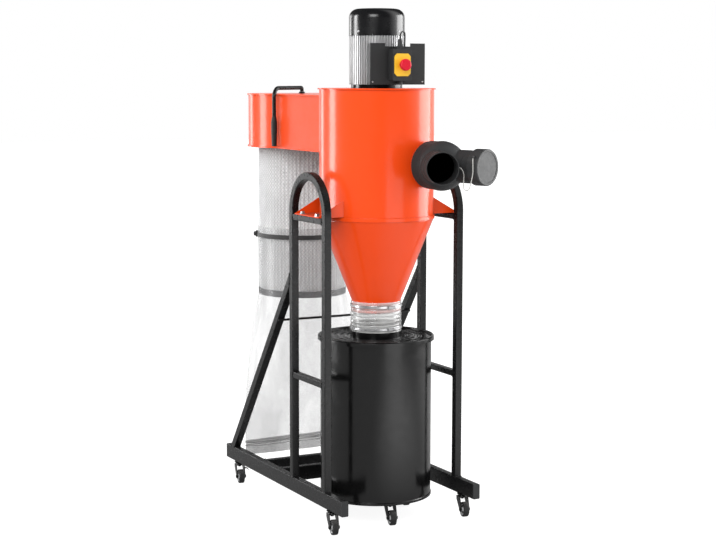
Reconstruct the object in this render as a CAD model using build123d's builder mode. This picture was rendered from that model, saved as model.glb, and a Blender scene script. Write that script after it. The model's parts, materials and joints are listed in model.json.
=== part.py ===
from build123d import *
from math import cos, hypot, pi, radians, sin, sqrt, tan
import os

os.makedirs("parts", exist_ok=True)

# A mobile two-stage dust collector: a fan motor on a cyclone, a dust drum under the
# cyclone, a pleated filter with a plastic bag behind it, all on a tube frame on casters.
# Millimetres. +Z is up, -Y is the front, and the floor is at z = 0.

# Where the two upright axes stand, so that the whole machine is centred on X = Y = 0
axis_x = 3.0
axis_y = -168.0
filter_back = 575.0
filter_y = axis_y + filter_back

# Frame: rectangular rails, square tube arches, standing clear of the cyclone on both sides
side_gap = 55.0
rail_width = 25.0
rail_height = 50.0
rail_bottom = 75.0
rail_front = 252.0
rail_rear = 684.0
tube_size = 25.0
tube_wall = 2.0
tube_corner = 3.0
arch_legs = 245.0
arch_spring = 1026.0
saddle_height = 20.0
saddle_top = 1018.0
rung_top = 487.0
brace_top = 795.0
brace_foot = 631.0
brace_rod_diameter = 8.0
brace_rod_z = 646.0
cross_tube_backs = (250.0, 385.0)
end_cap_flange = 3.0
end_cap_plug = 14.0

# Cyclone
sheet = 2.0
barrel_radius = 190.0
barrel_top = 1428.0
barrel_bottom = 1010.0
top_plate_lip = 5.0
top_plate_thickness = 4.0
band_height = 13.0
band_thickness = 3.5
cone_bottom = 729.0
cone_mouth_radius = 82.0
spigot_length = 36.0

# Hanger brackets on the saddle bars
bracket_width = 180.0
bracket_sheet = 3.0
bracket_top = 1072.0

# Inlet: a tangential stub with a twin-branch fitting on it
stub_radius = 75.0
inlet_edge = 15.0
inlet_offset = barrel_radius - stub_radius - inlet_edge
inlet_z = 1186.0
stub_reach = 24.0
socket_wall = 3.0
socket_step = 6.0
ball_radius = 80.0
ball_reach = 68.0
wye_wall = 2.5
wye_reach = 13.0
wye_half_angle = 22.0
neck_radius = 53.0
port_radius = 52.0
port_length = 65.0
branch_length = 215.0
inlet_cap_wall = 6.5
inlet_cap_end = 3.0
inlet_cap_depth = 40.0
inlet_cap_recess = 1.2
tether_diameter = 3.0
tether_lug = 6.0
tether_lug_root = 5.0
tether_lug_length = 17.0
tether_tab = 16.0
tether_tab_back = 15.0
tether_tab_rise = 35.0

# Motor on the top plate
motor_radius = 90.5
motor_flange_radius = 84.5
motor_flange_height = 12.0
motor_top = 1602.0
fin_count = 60
fin_depth = 6.0
fin_width = 3.4
cowl_radius = 92.0
cowl_top = 1690.0
cowl_corner = 30.0
cowl_slots = 24
cowl_slot_radius = 38.0
cowl_slot_length = 26.0
cowl_slot_width = 4.0
cowl_slot_depth = 5.0

# Switch panel, box, plate and button in front of the motor
panel_width = 200.0
panel_height = 132.0
panel_bottom = 1444.0
panel_front = 144.0
panel_depth = 23.0
panel_sheet = 2.0
notch_width = 92.0
notch_depth = 10.0
terminal_width = 100.0
terminal_height = 104.0
terminal_bottom = 1456.0
switch_width = 67.0
switch_height = 102.0
switch_depth = 30.0
switch_z = 1507.0
plate_width = 58.0
plate_height = 72.0
plate_thickness = 3.0
plate_corner = 9.0
button_radius = 19.0
button_stem_radius = 11.0
button_head = 12.0
button_reach = 27.0
button_travel = 4.0
button_clearance = 0.5
gland_radius = 10.0
gland_height = 32.0
gland_nut_radius = 12.5
gland_nut_height = 8.0
lead_diameter = 5.0

# Filter head, canister and bag
head_step = 3.0
head_radius = barrel_radius + head_step
head_top = 1409.0
head_height = 190.0
head_bottom = head_top - head_height
head_lip = 4.0
head_lip_height = 6.0
duct_width = 310.0
canister_radius = 156.0
pleat_depth = 12.0
pleat_count = 48
canister_bottom = 707.0
base_ring_height = 23.0
base_ring_radius = 159.0
strap_z = 901.0
strap_height = 16.0
strap_thickness = 2.0
latch_angle = 152.5
latch_length = 30.0
latch_height = 22.0
latch_depth = 6.0
latch_knob_radius = 8.0
latch_knob_length = 8.0
bag_sheet = 1.2
bag_top = 932.0
bag_gap = 0.4

# Cleaning crank on the filter head
crank_radius = 220.0
crank_rest = 218.4
crank_rod = 14.0
crank_elbow = 7.5
crank_bend = 34.0
crank_arm_rise = 20.0
crank_fall = 198.0
crank_grip_radius = 10.5
crank_grip_neck = 8.5
crank_grip_length = 103.0
crank_grip_taper = 18.0
crank_grip_end = 4.0
crank_boss_radius = 11.0
crank_boss_height = 6.0
crank_gap = 0.3

# Drum, lid and sleeve
drum_radius = 186.0
drum_bottom = 70.0
drum_recess = 5.0
chime = 2.0
chime_height = 9.0
drum_top = 604.0
lid_rim_radius = 195.0
lid_rim_bottom = 598.0
lid_top = 613.0
lid_bead = 6.0
collar_radius = 86.0
collar_inside = 24.0
sleeve_bottom = 627.0
sleeve_gap = 0.3
sleeve_sheet = 3.0
clamp_width = 7.0
clamp_thickness = 2.0
clamp_screw_angle = -87.0
clamp_screw_radius = 4.0
clamp_screw_length = 24.0
clamp_block_length = 14.0

# Casters
caster_inset = 88.0
caster_wheel_radius = 25.0
caster_wheel_width = 20.0
caster_trail = 22.0
caster_heading = -101.0
caster_wheel_shoulder = 3.0
caster_rim_radius = 18.5
caster_rim_depth = 2.0
caster_web_depth = 4.5
caster_hub_radius = 7.5
caster_cap_radius = 19.0
caster_cap_height = 5.0
caster_race_radius = 14.5
caster_race_gap = 0.3
fork_gap = 3.0
fork_sheet = 2.5
fork_crown = 16.5
fork_shoulder = 12.0
fork_dish_radius = 17.0
fork_dish_height = 4.0
fork_boss = 8.5
axle_radius = 3.0
axle_clearance = 0.05
axle_head_radius = 5.5
axle_head_height = 3.0
drum_caster_radius = 150.0
drum_caster_angle = -99.0

track = 2 * (barrel_radius + side_gap)
half_track = track / 2
rail_top = rail_bottom + rail_height
leg_reach = arch_legs / 2

# Half section planes and axes of the two upright round bodies
cyclone_axis = Axis((axis_x, axis_y, 0), (0, 0, 1))
cyclone_section = Plane(origin=(axis_x, axis_y, 0), x_dir=(1, 0, 0), z_dir=(0, -1, 0))
filter_axis = Axis((axis_x, filter_y, 0), (0, 0, 1))
filter_section = Plane(origin=(axis_x, filter_y, 0), x_dir=(1, 0, 0), z_dir=(0, -1, 0))


def save(piece, name):
    piece.part.label = name
    export_step(piece.part, "parts/" + name + ".step")


def tube_section(width, height, wall):
    """Rounded rectangular tube, drawn in the sketch that is open."""
    RectangleRounded(width, height, tube_corner)
    inner = tube_corner - wall if tube_corner > wall else 0.5
    RectangleRounded(width - 2 * wall, height - 2 * wall, inner, mode=Mode.SUBTRACT)


# Rails
with BuildPart() as base_rails:
    with BuildSketch(Plane.XZ.offset(-(axis_y + rail_rear))):
        with Locations(
            (axis_x - half_track, rail_bottom + rail_height / 2),
            (axis_x + half_track, rail_bottom + rail_height / 2),
        ):
            RectangleRounded(rail_width, rail_height, tube_corner)
            RectangleRounded(
                rail_width - 2 * tube_wall, rail_height - 2 * tube_wall, tube_corner - tube_wall,
                mode=Mode.SUBTRACT,
            )
    extrude(amount=rail_rear + rail_front)
save(base_rails, "base_rails")

# Plastic plugs in the four rail ends
with BuildPart() as rail_end_caps:
    for side in (-1, 1):
        rail_x = axis_x + side * half_track
        rail_z = rail_bottom + rail_height / 2
        for end_y, outward in ((axis_y - rail_front, -1), (axis_y + rail_rear, 1)):
            with BuildSketch(Plane(origin=(rail_x, end_y, rail_z), x_dir=(1, 0, 0), z_dir=(0, outward, 0))):
                RectangleRounded(rail_width, rail_height, tube_corner)
            extrude(amount=end_cap_flange)
            with BuildSketch(Plane(origin=(rail_x, end_y, rail_z), x_dir=(1, 0, 0), z_dir=(0, -outward, 0))):
                RectangleRounded(
                    rail_width - 2 * tube_wall - 0.4, rail_height - 2 * tube_wall - 0.4, tube_corner - tube_wall,
                )
            extrude(amount=end_cap_plug)
save(rail_end_caps, "rail_end_caps")

# Cross tubes between the rails
with BuildPart() as base_cross_tubes:
    with BuildSketch(Plane.YZ.offset(axis_x - half_track + rail_width / 2)):
        for back in cross_tube_backs:
            with Locations((axis_y + back, rail_bottom + rail_height / 2)):
                RectangleRounded(tube_size, rail_height, tube_corner)
                RectangleRounded(
                    tube_size - 2 * tube_wall, rail_height - 2 * tube_wall, tube_corner - tube_wall,
                    mode=Mode.SUBTRACT,
                )
    extrude(amount=track - rail_width)
save(base_cross_tubes, "base_cross_tubes")

# Arches: one tube each, bent over the top
for name, side in (("arch_left", -1), ("arch_right", 1)):
    arch_x = axis_x + side * half_track
    with BuildPart() as arch:
        with BuildLine(Plane.YZ.offset(arch_x)) as arch_path:
            Line((axis_y - leg_reach, rail_top), (axis_y - leg_reach, arch_spring))
            ThreePointArc(
                (axis_y - leg_reach, arch_spring),
                (axis_y, arch_spring + leg_reach),
                (axis_y + leg_reach, arch_spring),
            )
            Line((axis_y + leg_reach, arch_spring), (axis_y + leg_reach, rail_top))
        with BuildSketch(Plane.XY.offset(rail_top)):
            with Locations((arch_x, axis_y - leg_reach)):
                tube_section(tube_size, tube_size, tube_wall)
        sweep(path=arch_path.line)
    save(arch, name)

# Saddle bars and rungs between the legs of each arch
for name, top in (("saddle_bars", saddle_top), ("rung_bars", rung_top)):
    with BuildPart() as bars:
        with BuildSketch(Plane.XZ.offset(-(axis_y + leg_reach - tube_size / 2))):
            with Locations(
                (axis_x - half_track, top - saddle_height / 2),
                (axis_x + half_track, top - saddle_height / 2),
            ):
                tube_section(tube_size, saddle_height, tube_wall)
        extrude(amount=arch_legs - tube_size)
    save(bars, name)

# Slanting braces from the rear legs down to the rear of the rails
brace_start = leg_reach + tube_size / 2
brace_run = brace_foot - brace_start
brace_fall = brace_top - rail_top
brace_length = hypot(brace_run, brace_fall)


def brace_outline(width):
    """The side view of a tube of this width, cut to the leg and to the rail."""
    half_at_leg = width / 2 * brace_length / brace_run
    half_at_rail = width / 2 * brace_length / brace_fall
    leg = axis_y + brace_start
    foot = axis_y + brace_foot
    Polyline(
        (leg, brace_top - half_at_leg),
        (leg, brace_top + half_at_leg),
        (foot + half_at_rail, rail_top),
        (foot - half_at_rail, rail_top),
        close=True,
    )


with BuildPart() as rear_braces:
    for side in (-1, 1):
        brace_plane = Plane.YZ.offset(axis_x + side * half_track)
        with BuildSketch(brace_plane):
            with BuildLine():
                brace_outline(tube_size)
            make_face()
        extrude(amount=tube_size / 2, both=True)
        with BuildSketch(brace_plane):
            with BuildLine():
                brace_outline(tube_size - 2 * tube_wall)
            make_face()
        extrude(amount=tube_size / 2 - tube_wall, both=True, mode=Mode.SUBTRACT)
save(rear_braces, "rear_braces")

# Thin rod across the front faces of the braces
brace_y_at_rod = axis_y + brace_start + (brace_top - brace_rod_z) * brace_run / brace_fall
rod_y = brace_y_at_rod - (tube_size + brace_rod_diameter) / 2 * brace_length / brace_fall
with BuildPart() as brace_rod:
    with BuildSketch(Plane.YZ.offset(axis_x - half_track - tube_size / 2 + 2)):
        with Locations((rod_y, brace_rod_z)):
            Circle(brace_rod_diameter / 2)
    extrude(amount=track + tube_size - 4)
save(brace_rod, "brace_rod")

# Hanger brackets: a foot on the saddle bar and two triangular webs up the barrel
bracket_outer = half_track + rail_width / 2
with BuildPart() as hanger_brackets:
    for side in (-1, 1):
        with BuildSketch(Plane.XY.offset(saddle_top)):
            with Locations((axis_x + side * (bracket_outer + barrel_radius / 2) / 2, axis_y)):
                Rectangle(bracket_outer - barrel_radius / 2, bracket_width)
        extrude(amount=bracket_sheet)
        for web in (-1, 1):
            web_y = axis_y + web * (bracket_width - bracket_sheet) / 2
            wall = sqrt(barrel_radius**2 - (bracket_width / 2) ** 2)
            with BuildSketch(Plane.XZ.offset(-(web_y + bracket_sheet / 2))):
                with BuildLine():
                    Polyline(
                        (axis_x + side * barrel_radius / 2, saddle_top),
                        (axis_x + side * bracket_outer, saddle_top),
                        (axis_x + side * bracket_outer, saddle_top + bracket_sheet),
                        (axis_x + side * wall, bracket_top),
                        (axis_x + side * barrel_radius / 2, bracket_top),
                        close=True,
                    )
                make_face()
            extrude(amount=bracket_sheet)
    with Locations((axis_x, axis_y, saddle_top)):
        Cylinder(
            barrel_radius, bracket_top - saddle_top + 1,
            align=(Align.CENTER, Align.CENTER, Align.MIN), mode=Mode.SUBTRACT,
        )
save(hanger_brackets, "hanger_brackets")

# Barrel with the tangential inlet stub and the duct window at the back
with BuildPart() as cyclone_barrel:
    with BuildSketch(Plane.XY.offset(barrel_bottom)):
        with Locations((axis_x, axis_y)):
            Circle(barrel_radius)
    extrude(amount=barrel_top - barrel_bottom)
    with BuildSketch(Plane.XZ.offset(-axis_y)):
        with Locations((axis_x + inlet_offset, inlet_z)):
            Circle(stub_radius)
    extrude(amount=barrel_radius + stub_reach)
    with BuildSketch(Plane.XY.offset(barrel_bottom)):
        with Locations((axis_x, axis_y)):
            Circle(barrel_radius - sheet)
    extrude(amount=barrel_top - barrel_bottom, mode=Mode.SUBTRACT)
    with BuildSketch(Plane.XZ.offset(-axis_y)):
        with Locations((axis_x + inlet_offset, inlet_z)):
            Circle(stub_radius - sheet)
    extrude(amount=barrel_radius + stub_reach, mode=Mode.SUBTRACT)
    with BuildSketch(Plane.XZ.offset(-axis_y)):
        with Locations((axis_x, (head_top + head_bottom) / 2)):
            Rectangle(duct_width - 2 * sheet, head_top - head_bottom - 2 * sheet)
    extrude(amount=-barrel_radius, mode=Mode.SUBTRACT)
save(cyclone_barrel, "cyclone_barrel")

# Rolled band over the joint of barrel and cone
with BuildPart() as cyclone_band:
    with BuildSketch(cyclone_section):
        with Locations((barrel_radius + band_thickness / 2, barrel_bottom)):
            RectangleRounded(band_thickness, band_height, band_thickness / 3)
    revolve(axis=cyclone_axis)
save(cyclone_band, "cyclone_band")

# Cone: a short collar, the taper and the spigot that the sleeve grips
cone_collar = barrel_bottom - band_height / 2 - 2
with BuildPart() as cyclone_cone:
    with BuildSketch(cyclone_section):
        with BuildLine():
            Polyline(
                (barrel_radius - sheet, barrel_bottom),
                (barrel_radius, barrel_bottom),
                (barrel_radius, cone_collar),
                (cone_mouth_radius, cone_bottom),
                (cone_mouth_radius, cone_bottom - spigot_length),
                (cone_mouth_radius - sheet, cone_bottom - spigot_length),
                (cone_mouth_radius - sheet, cone_bottom),
                (barrel_radius - sheet, cone_collar),
                close=True,
            )
        make_face()
    revolve(axis=cyclone_axis)
save(cyclone_cone, "cyclone_cone")

# Top plate of the barrel
with BuildPart() as cyclone_top_plate:
    with BuildSketch(Plane.XY.offset(barrel_top)):
        with Locations((axis_x, axis_y)):
            Circle(barrel_radius + top_plate_lip)
    extrude(amount=top_plate_thickness)
    chamfer(cyclone_top_plate.edges().group_by(Axis.Z)[-1], 1.2)
save(cyclone_top_plate, "cyclone_top_plate")
top_face = barrel_top + top_plate_thickness

# Twin-branch inlet fitting: a collar over the stub, a hollow ball and two round branches
wye_origin = (axis_x + inlet_offset, axis_y - barrel_radius - wye_reach, inlet_z)
ball_centre = (axis_x + inlet_offset, axis_y - barrel_radius - ball_reach, inlet_z)
neck_length = branch_length - port_length
crotch = neck_radius / sin(radians(wye_half_angle))


def branch_plane(side):
    """The plane at the foot of a branch, its Z along the branch and its X towards +X."""
    angle = radians(wye_half_angle)
    return Plane(
        origin=wye_origin,
        x_dir=(cos(angle), side * sin(angle), 0),
        z_dir=(side * sin(angle), -cos(angle), 0),
    )


with BuildPart() as inlet_wye:
    with BuildSketch(Plane.XZ.offset(-(axis_y - barrel_radius - socket_step))):
        with Locations((axis_x + inlet_offset, inlet_z)):
            Circle(stub_radius + socket_wall)
    extrude(amount=ball_reach - socket_step)
    with Locations(ball_centre):
        Sphere(ball_radius)
    for side in (-1, 1):
        with BuildSketch(branch_plane(side)):
            Circle(neck_radius)
        extrude(amount=neck_length)
        with BuildSketch(branch_plane(side).offset(neck_length)):
            Circle(port_radius)
        extrude(amount=port_length)
    with Locations(ball_centre):
        Sphere(ball_radius - wye_wall, mode=Mode.SUBTRACT)
    for side in (-1, 1):
        with BuildSketch(branch_plane(side)):
            Circle(port_radius - wye_wall)
        extrude(amount=branch_length, mode=Mode.SUBTRACT)
    with BuildSketch(Plane.XZ.offset(-axis_y)):
        with Locations((axis_x + inlet_offset, inlet_z)):
            Circle(stub_radius)
    extrude(amount=barrel_radius + ball_reach, mode=Mode.SUBTRACT)
    with BuildSketch(Plane.XZ.offset(-(wye_origin[1] - crotch + tether_lug_root))):
        with Locations((wye_origin[0], inlet_z)):
            Circle(tether_lug / 2)
    extrude(amount=tether_lug_root + tether_lug_length)
save(inlet_wye, "inlet_wye")

# Cap pushed over the right branch, its face a little sunk inside a rounded rim
cap_start = branch_length + inlet_cap_end - inlet_cap_depth
inlet_cap_radius = port_radius + inlet_cap_wall
with BuildPart() as inlet_cap:
    with BuildSketch(branch_plane(1).offset(cap_start)):
        Circle(inlet_cap_radius)
    extrude(amount=inlet_cap_depth)
    fillet(inlet_cap.faces().filter_by(GeomType.PLANE).sort_by(Axis.Y)[0].edges(), 3)
    with BuildSketch(branch_plane(1).offset(cap_start)):
        Circle(port_radius)
    extrude(amount=inlet_cap_depth - inlet_cap_end, mode=Mode.SUBTRACT)
    with BuildSketch(branch_plane(1).offset(cap_start + inlet_cap_depth - inlet_cap_recess)):
        Circle(port_radius - wye_wall)
    extrude(amount=inlet_cap_recess, mode=Mode.SUBTRACT)
    with BuildSketch(branch_plane(1).offset(cap_start + inlet_cap_depth - tether_tab_back)):
        with Locations((-(inlet_cap_radius - 3.5), tether_tab_rise)):
            Rectangle(tether_tab, tether_lug)
    extrude(amount=tether_lug / 2, both=True)
save(inlet_cap, "inlet_cap")

# Motor: flange, finned body, and a cowl with air slots in its top
with BuildPart() as motor_flange:
    with BuildSketch(Plane.XY.offset(top_face)):
        with Locations((axis_x, axis_y)):
            Circle(motor_flange_radius)
    extrude(amount=motor_flange_height)
save(motor_flange, "motor_flange")

with BuildPart() as motor_body:
    with BuildSketch(Plane.XY.offset(top_face + motor_flange_height)):
        with Locations((axis_x, axis_y)):
            Circle(motor_radius - fin_depth)
            with PolarLocations(motor_radius - fin_depth / 2 - 0.5, fin_count):
                Rectangle(fin_depth + 1, fin_width)
            Circle(motor_radius, mode=Mode.INTERSECT)
    extrude(amount=motor_top - top_face - motor_flange_height)
save(motor_body, "motor_body")

with BuildPart() as motor_cowl:
    with BuildSketch(Plane.XY.offset(motor_top)):
        with Locations((axis_x, axis_y)):
            Circle(cowl_radius)
    extrude(amount=cowl_top - motor_top)
    fillet(motor_cowl.edges().group_by(Axis.Z)[-1], cowl_corner)
    with BuildSketch(Plane.XY.offset(cowl_top)):
        with Locations((axis_x, axis_y)):
            with PolarLocations(cowl_slot_radius, cowl_slots):
                Rectangle(cowl_slot_length, cowl_slot_width)
    extrude(amount=-cowl_slot_depth, mode=Mode.SUBTRACT)
save(motor_cowl, "motor_cowl")

# Terminal box between the motor and the switch panel
with BuildPart() as terminal_box:
    with BuildSketch(Plane.XZ.offset(-(axis_y - motor_radius / 2))):
        with Locations((axis_x, terminal_bottom + terminal_height / 2)):
            Rectangle(terminal_width, terminal_height)
    extrude(amount=panel_front - panel_sheet - motor_radius / 2)
    with Locations((axis_x, axis_y, terminal_bottom)):
        Cylinder(
            motor_radius, terminal_height,
            align=(Align.CENTER, Align.CENTER, Align.MIN), mode=Mode.SUBTRACT,
        )
save(terminal_box, "terminal_box")

# Switch panel: folded sheet with side returns and a notch in its top edge
with BuildPart() as switch_panel:
    with BuildSketch(Plane.XY.offset(panel_bottom)):
        with Locations((axis_x, axis_y - panel_front + panel_depth / 2)):
            Rectangle(panel_width, panel_depth)
        with Locations((axis_x, axis_y - panel_front + panel_depth / 2 + panel_sheet / 2)):
            Rectangle(panel_width - 2 * panel_sheet, panel_depth - panel_sheet, mode=Mode.SUBTRACT)
    extrude(amount=panel_height)
    with BuildSketch(Plane.XZ.offset(-(axis_y - panel_front + panel_sheet))):
        with Locations((axis_x, panel_bottom + panel_height - notch_depth / 2)):
            Rectangle(notch_width, notch_depth)
    extrude(amount=panel_sheet, mode=Mode.SUBTRACT)
save(switch_panel, "switch_panel")

switch_front = axis_y - panel_front - switch_depth
with BuildPart() as switch_box:
    with BuildSketch(Plane.XZ.offset(-(axis_y - panel_front))):
        with Locations((axis_x, switch_z)):
            RectangleRounded(switch_width, switch_height, 5)
    extrude(amount=switch_depth)
    with BuildSketch(Plane.XZ.offset(-switch_front)):
        with Locations((axis_x, switch_z)):
            Circle(button_stem_radius + button_clearance)
    extrude(amount=-button_head, mode=Mode.SUBTRACT)
save(switch_box, "switch_box")

with BuildPart() as switch_plate:
    with BuildSketch(Plane.XZ.offset(-switch_front)) as plate_face:
        with Locations((axis_x, switch_z)):
            Rectangle(plate_width, plate_height)
        chamfer(plate_face.vertices(), plate_corner)
        with Locations((axis_x, switch_z)):
            Circle(button_stem_radius + button_clearance, mode=Mode.SUBTRACT)
    extrude(amount=plate_thickness)
save(switch_plate, "switch_plate")

# Mushroom stop button on a stem that slides into the box
plate_front = switch_front - plate_thickness
with BuildPart() as stop_button:
    with BuildSketch(Plane.XZ.offset(-(plate_front - button_reach + button_head))):
        with Locations((axis_x, switch_z)):
            Circle(button_radius)
    extrude(amount=button_head)
    fillet(stop_button.faces().filter_by(GeomType.PLANE).sort_by(Axis.Y)[0].edges(), 5)
    with BuildSketch(Plane.XZ.offset(-(switch_front + button_travel))):
        with Locations((axis_x, switch_z)):
            Circle(button_stem_radius)
    extrude(amount=plate_thickness + button_travel + button_reach - button_head)
save(stop_button, "stop_button")

# Cable glands on top of and under the switch box
gland_y = axis_y - panel_front - switch_depth / 2
switch_top = switch_z + switch_height / 2
with BuildPart() as switch_glands:
    with BuildSketch(Plane.XY.offset(switch_top)):
        with Locations((axis_x, gland_y)):
            RegularPolygon(gland_nut_radius, 6)
    extrude(amount=gland_nut_height)
    with BuildSketch(Plane.XY.offset(switch_top + gland_nut_height)):
        with Locations((axis_x, gland_y)):
            Circle(gland_radius)
    with BuildSketch(Plane.XY.offset(switch_top + gland_height)):
        with Locations((axis_x, gland_y)):
            Circle(lead_diameter)
    loft()
    with BuildSketch(Plane.XY.offset(switch_z - switch_height / 2)):
        with Locations((axis_x, gland_y)):
            Circle(gland_radius - 2)
    extrude(amount=-12)
save(switch_glands, "switch_glands")


def cord_tube(points, diameter):
    """A tube of straight runs joined by arcs as large as the runs allow."""
    corners = [Vector(*point) for point in points]
    radii = []
    for before, here, after in zip(corners, corners[1:], corners[2:]):
        turn = radians((here - before).get_angle(after - here))
        shorter = min((here - before).length, (after - here).length)
        radii.append(0.45 * shorter / tan(turn / 2))
    print("cord bend radii", [round(radius, 1) for radius in radii])
    with BuildPart() as tube:
        with BuildLine() as route:
            FilletPolyline(*corners, radius=radii)
        path = route.wire()
        with BuildSketch(Plane(origin=path @ 0, z_dir=path % 0)):
            Circle(diameter / 2)
        sweep(path=path)
    length = path.length
    share = tube.part.volume / (pi * (diameter / 2) ** 2 * length)
    print("cord length", round(length, 1), "volume over section times length", round(share, 4))
    return tube


# Lead from the top gland over the panel into the terminal box
lead_points = (
    (axis_x, gland_y, 1590.0),
    (axis_x, gland_y, 1600.0),
    (axis_x + 5, gland_y + 2, 1610.0),
    (axis_x + 16, gland_y + 9, 1615.0),
    (axis_x + 28, gland_y + 19, 1609.0),
    (axis_x + 33, gland_y + 28, 1594.0),
    (axis_x + 34, gland_y + 31, 1577.0),
    (axis_x + 34, gland_y + 31, 1560.0),
)
switch_lead = cord_tube(lead_points, lead_diameter)
save(switch_lead, "switch_lead")

# Tether from the open branch to the cap
tether_points = (
    (103.0, -529.5, 1186.0),
    (103.0, -541.0, 1186.0),
    (106.5, -549.5, 1179.0),
    (109.2, -554.6, 1164.0),
    (110.6, -557.4, 1145.0),
    (111.4, -558.9, 1122.4),
    (113.2, -562.6, 1116.6),
    (116.0, -568.6, 1114.4),
    (118.8, -574.6, 1116.6),
    (120.6, -578.6, 1122.4),
    (121.2, -582.6, 1145.0),
    (122.0, -586.4, 1168.0),
    (123.2, -584.8, 1188.0),
    (124.3, -581.4, 1205.0),
    (124.3, -581.4, 1218.0),
)
cap_tether = cord_tube(tether_points, tether_diameter)
save(cap_tether, "cap_tether")

# Filter head: a round housing with the duct that joins it to the barrel
with BuildPart() as filter_head:
    with BuildSketch(Plane.XY.offset(head_bottom)):
        with Locations((axis_x, filter_y)):
            Circle(head_radius)
        with Locations((axis_x, (axis_y + filter_y) / 2)):
            Rectangle(duct_width, filter_back)
    extrude(amount=head_top - head_bottom)
    for z in (head_bottom, head_top - head_lip_height):
        with BuildSketch(Plane.XY.offset(z)):
            with Locations((axis_x, filter_y)):
                Circle(head_radius + head_lip)
            with Locations((axis_x, (axis_y + filter_y) / 2)):
                Rectangle(duct_width + 2 * head_lip, filter_back)
        extrude(amount=head_lip_height)
    with BuildSketch(Plane.XY.offset(head_bottom + sheet)):
        with Locations((axis_x, filter_y)):
            Circle(head_radius - sheet)
        with Locations((axis_x, (axis_y + filter_y) / 2)):
            Rectangle(duct_width - 2 * sheet, filter_back)
    extrude(amount=head_top - head_bottom - 2 * sheet, mode=Mode.SUBTRACT)
    with Locations((axis_x, axis_y, (head_top + head_bottom) / 2)):
        Cylinder(barrel_radius, head_top - head_bottom + 2, mode=Mode.SUBTRACT)
    with Locations((axis_x, filter_y, head_bottom)):
        Cylinder(canister_radius - pleat_depth - 2, 4 * sheet, mode=Mode.SUBTRACT)
save(filter_head, "filter_head")

# Pleated filter canister
with BuildPart() as filter_canister:
    with BuildSketch(Plane.XY.offset(canister_bottom)):
        with Locations((axis_x, filter_y)):
            RegularPolygon(canister_radius, pleat_count)
            RegularPolygon(canister_radius - pleat_depth, pleat_count, mode=Mode.SUBTRACT)
    extrude(amount=head_bottom - canister_bottom)
save(filter_canister, "filter_canister")

with BuildPart() as canister_base_ring:
    with BuildSketch(Plane.XY.offset(canister_bottom - base_ring_height)):
        with Locations((axis_x, filter_y)):
            Circle(base_ring_radius)
            Circle(canister_radius - pleat_depth, mode=Mode.SUBTRACT)
    extrude(amount=base_ring_height)
    chamfer(canister_base_ring.edges().group_by(Axis.Z)[0], 3)
save(canister_base_ring, "canister_base_ring")

# Dust bag: pulled over the canister, flat at its closed bottom
bag_neck = base_ring_radius + bag_gap + bag_sheet
bag_sections = (
    (bag_top, bag_neck, bag_neck),
    (canister_bottom - base_ring_height, bag_neck, bag_neck),
    (450.0, 193.0, 128.0),
    (145.0, 231.0, 18.0),
    (104.0, 224.0, 8.0),
)
with BuildPart() as dust_bag:
    for inset, mode in ((0.0, Mode.ADD), (bag_sheet, Mode.SUBTRACT)):
        for upper, lower in zip(bag_sections, bag_sections[1:]):
            for z, half_width, half_depth in (upper, lower):
                with BuildSketch(Plane.XY.offset(z)):
                    with Locations((axis_x, filter_y)):
                        Ellipse(half_width - inset, half_depth - inset - 0.001)
            loft(mode=mode)
save(dust_bag, "dust_bag")

with BuildPart() as bag_strap:
    with BuildSketch(Plane.XY.offset(strap_z - strap_height / 2)):
        with Locations((axis_x, filter_y)):
            Circle(base_ring_radius + bag_gap + bag_sheet + bag_gap + strap_thickness)
            Circle(base_ring_radius + bag_gap + bag_sheet + bag_gap, mode=Mode.SUBTRACT)
    extrude(amount=strap_height)
    latch_face = base_ring_radius + 2 * bag_gap + bag_sheet + strap_thickness
    latch_plane = Plane(
        origin=(axis_x, filter_y, strap_z),
        x_dir=(-sin(radians(latch_angle)), cos(radians(latch_angle)), 0),
        z_dir=(cos(radians(latch_angle)), sin(radians(latch_angle)), 0),
    )
    with BuildSketch(latch_plane.offset(latch_face - strap_thickness / 2)):
        RectangleRounded(latch_length, latch_height, 3)
    extrude(amount=strap_thickness / 2 + latch_depth)
    with BuildSketch(latch_plane.offset(latch_face + latch_depth)):
        Circle(latch_knob_radius)
    extrude(amount=latch_knob_length)
    fillet(bag_strap.faces().sort_by(Axis(latch_plane.origin, latch_plane.z_dir))[-1].edges(), 3)
save(bag_strap, "bag_strap")

# Crank that knocks the dust off the pleats
with BuildPart() as crank_boss:
    with BuildSketch(Plane.XY.offset(head_top)):
        with Locations((axis_x, filter_y)):
            Circle(crank_boss_radius)
    extrude(amount=crank_boss_height)
    chamfer(crank_boss.edges().group_by(Axis.Z)[-1], 1)
save(crank_boss, "crank_boss")

crank_plane = Plane(
    origin=(axis_x, filter_y, 0),
    x_dir=(cos(radians(crank_rest)), sin(radians(crank_rest)), 0),
    z_dir=(sin(radians(crank_rest)), -cos(radians(crank_rest)), 0),
)
crank_foot = head_top + crank_boss_height + crank_gap
crank_arm_z = head_top + crank_arm_rise
with BuildPart() as crank_arm:
    with BuildLine(crank_plane) as crank_path:
        FilletPolyline(
            (0, crank_foot),
            (0, crank_arm_z),
            (crank_radius, crank_arm_z),
            (crank_radius, crank_arm_z - crank_fall),
            radius=[crank_elbow, crank_bend],
        )
    with BuildSketch(Plane.XY.offset(crank_foot)):
        with Locations((axis_x, filter_y)):
            Circle(crank_rod / 2)
    sweep(path=crank_path.line)
save(crank_arm, "crank_arm")

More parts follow.
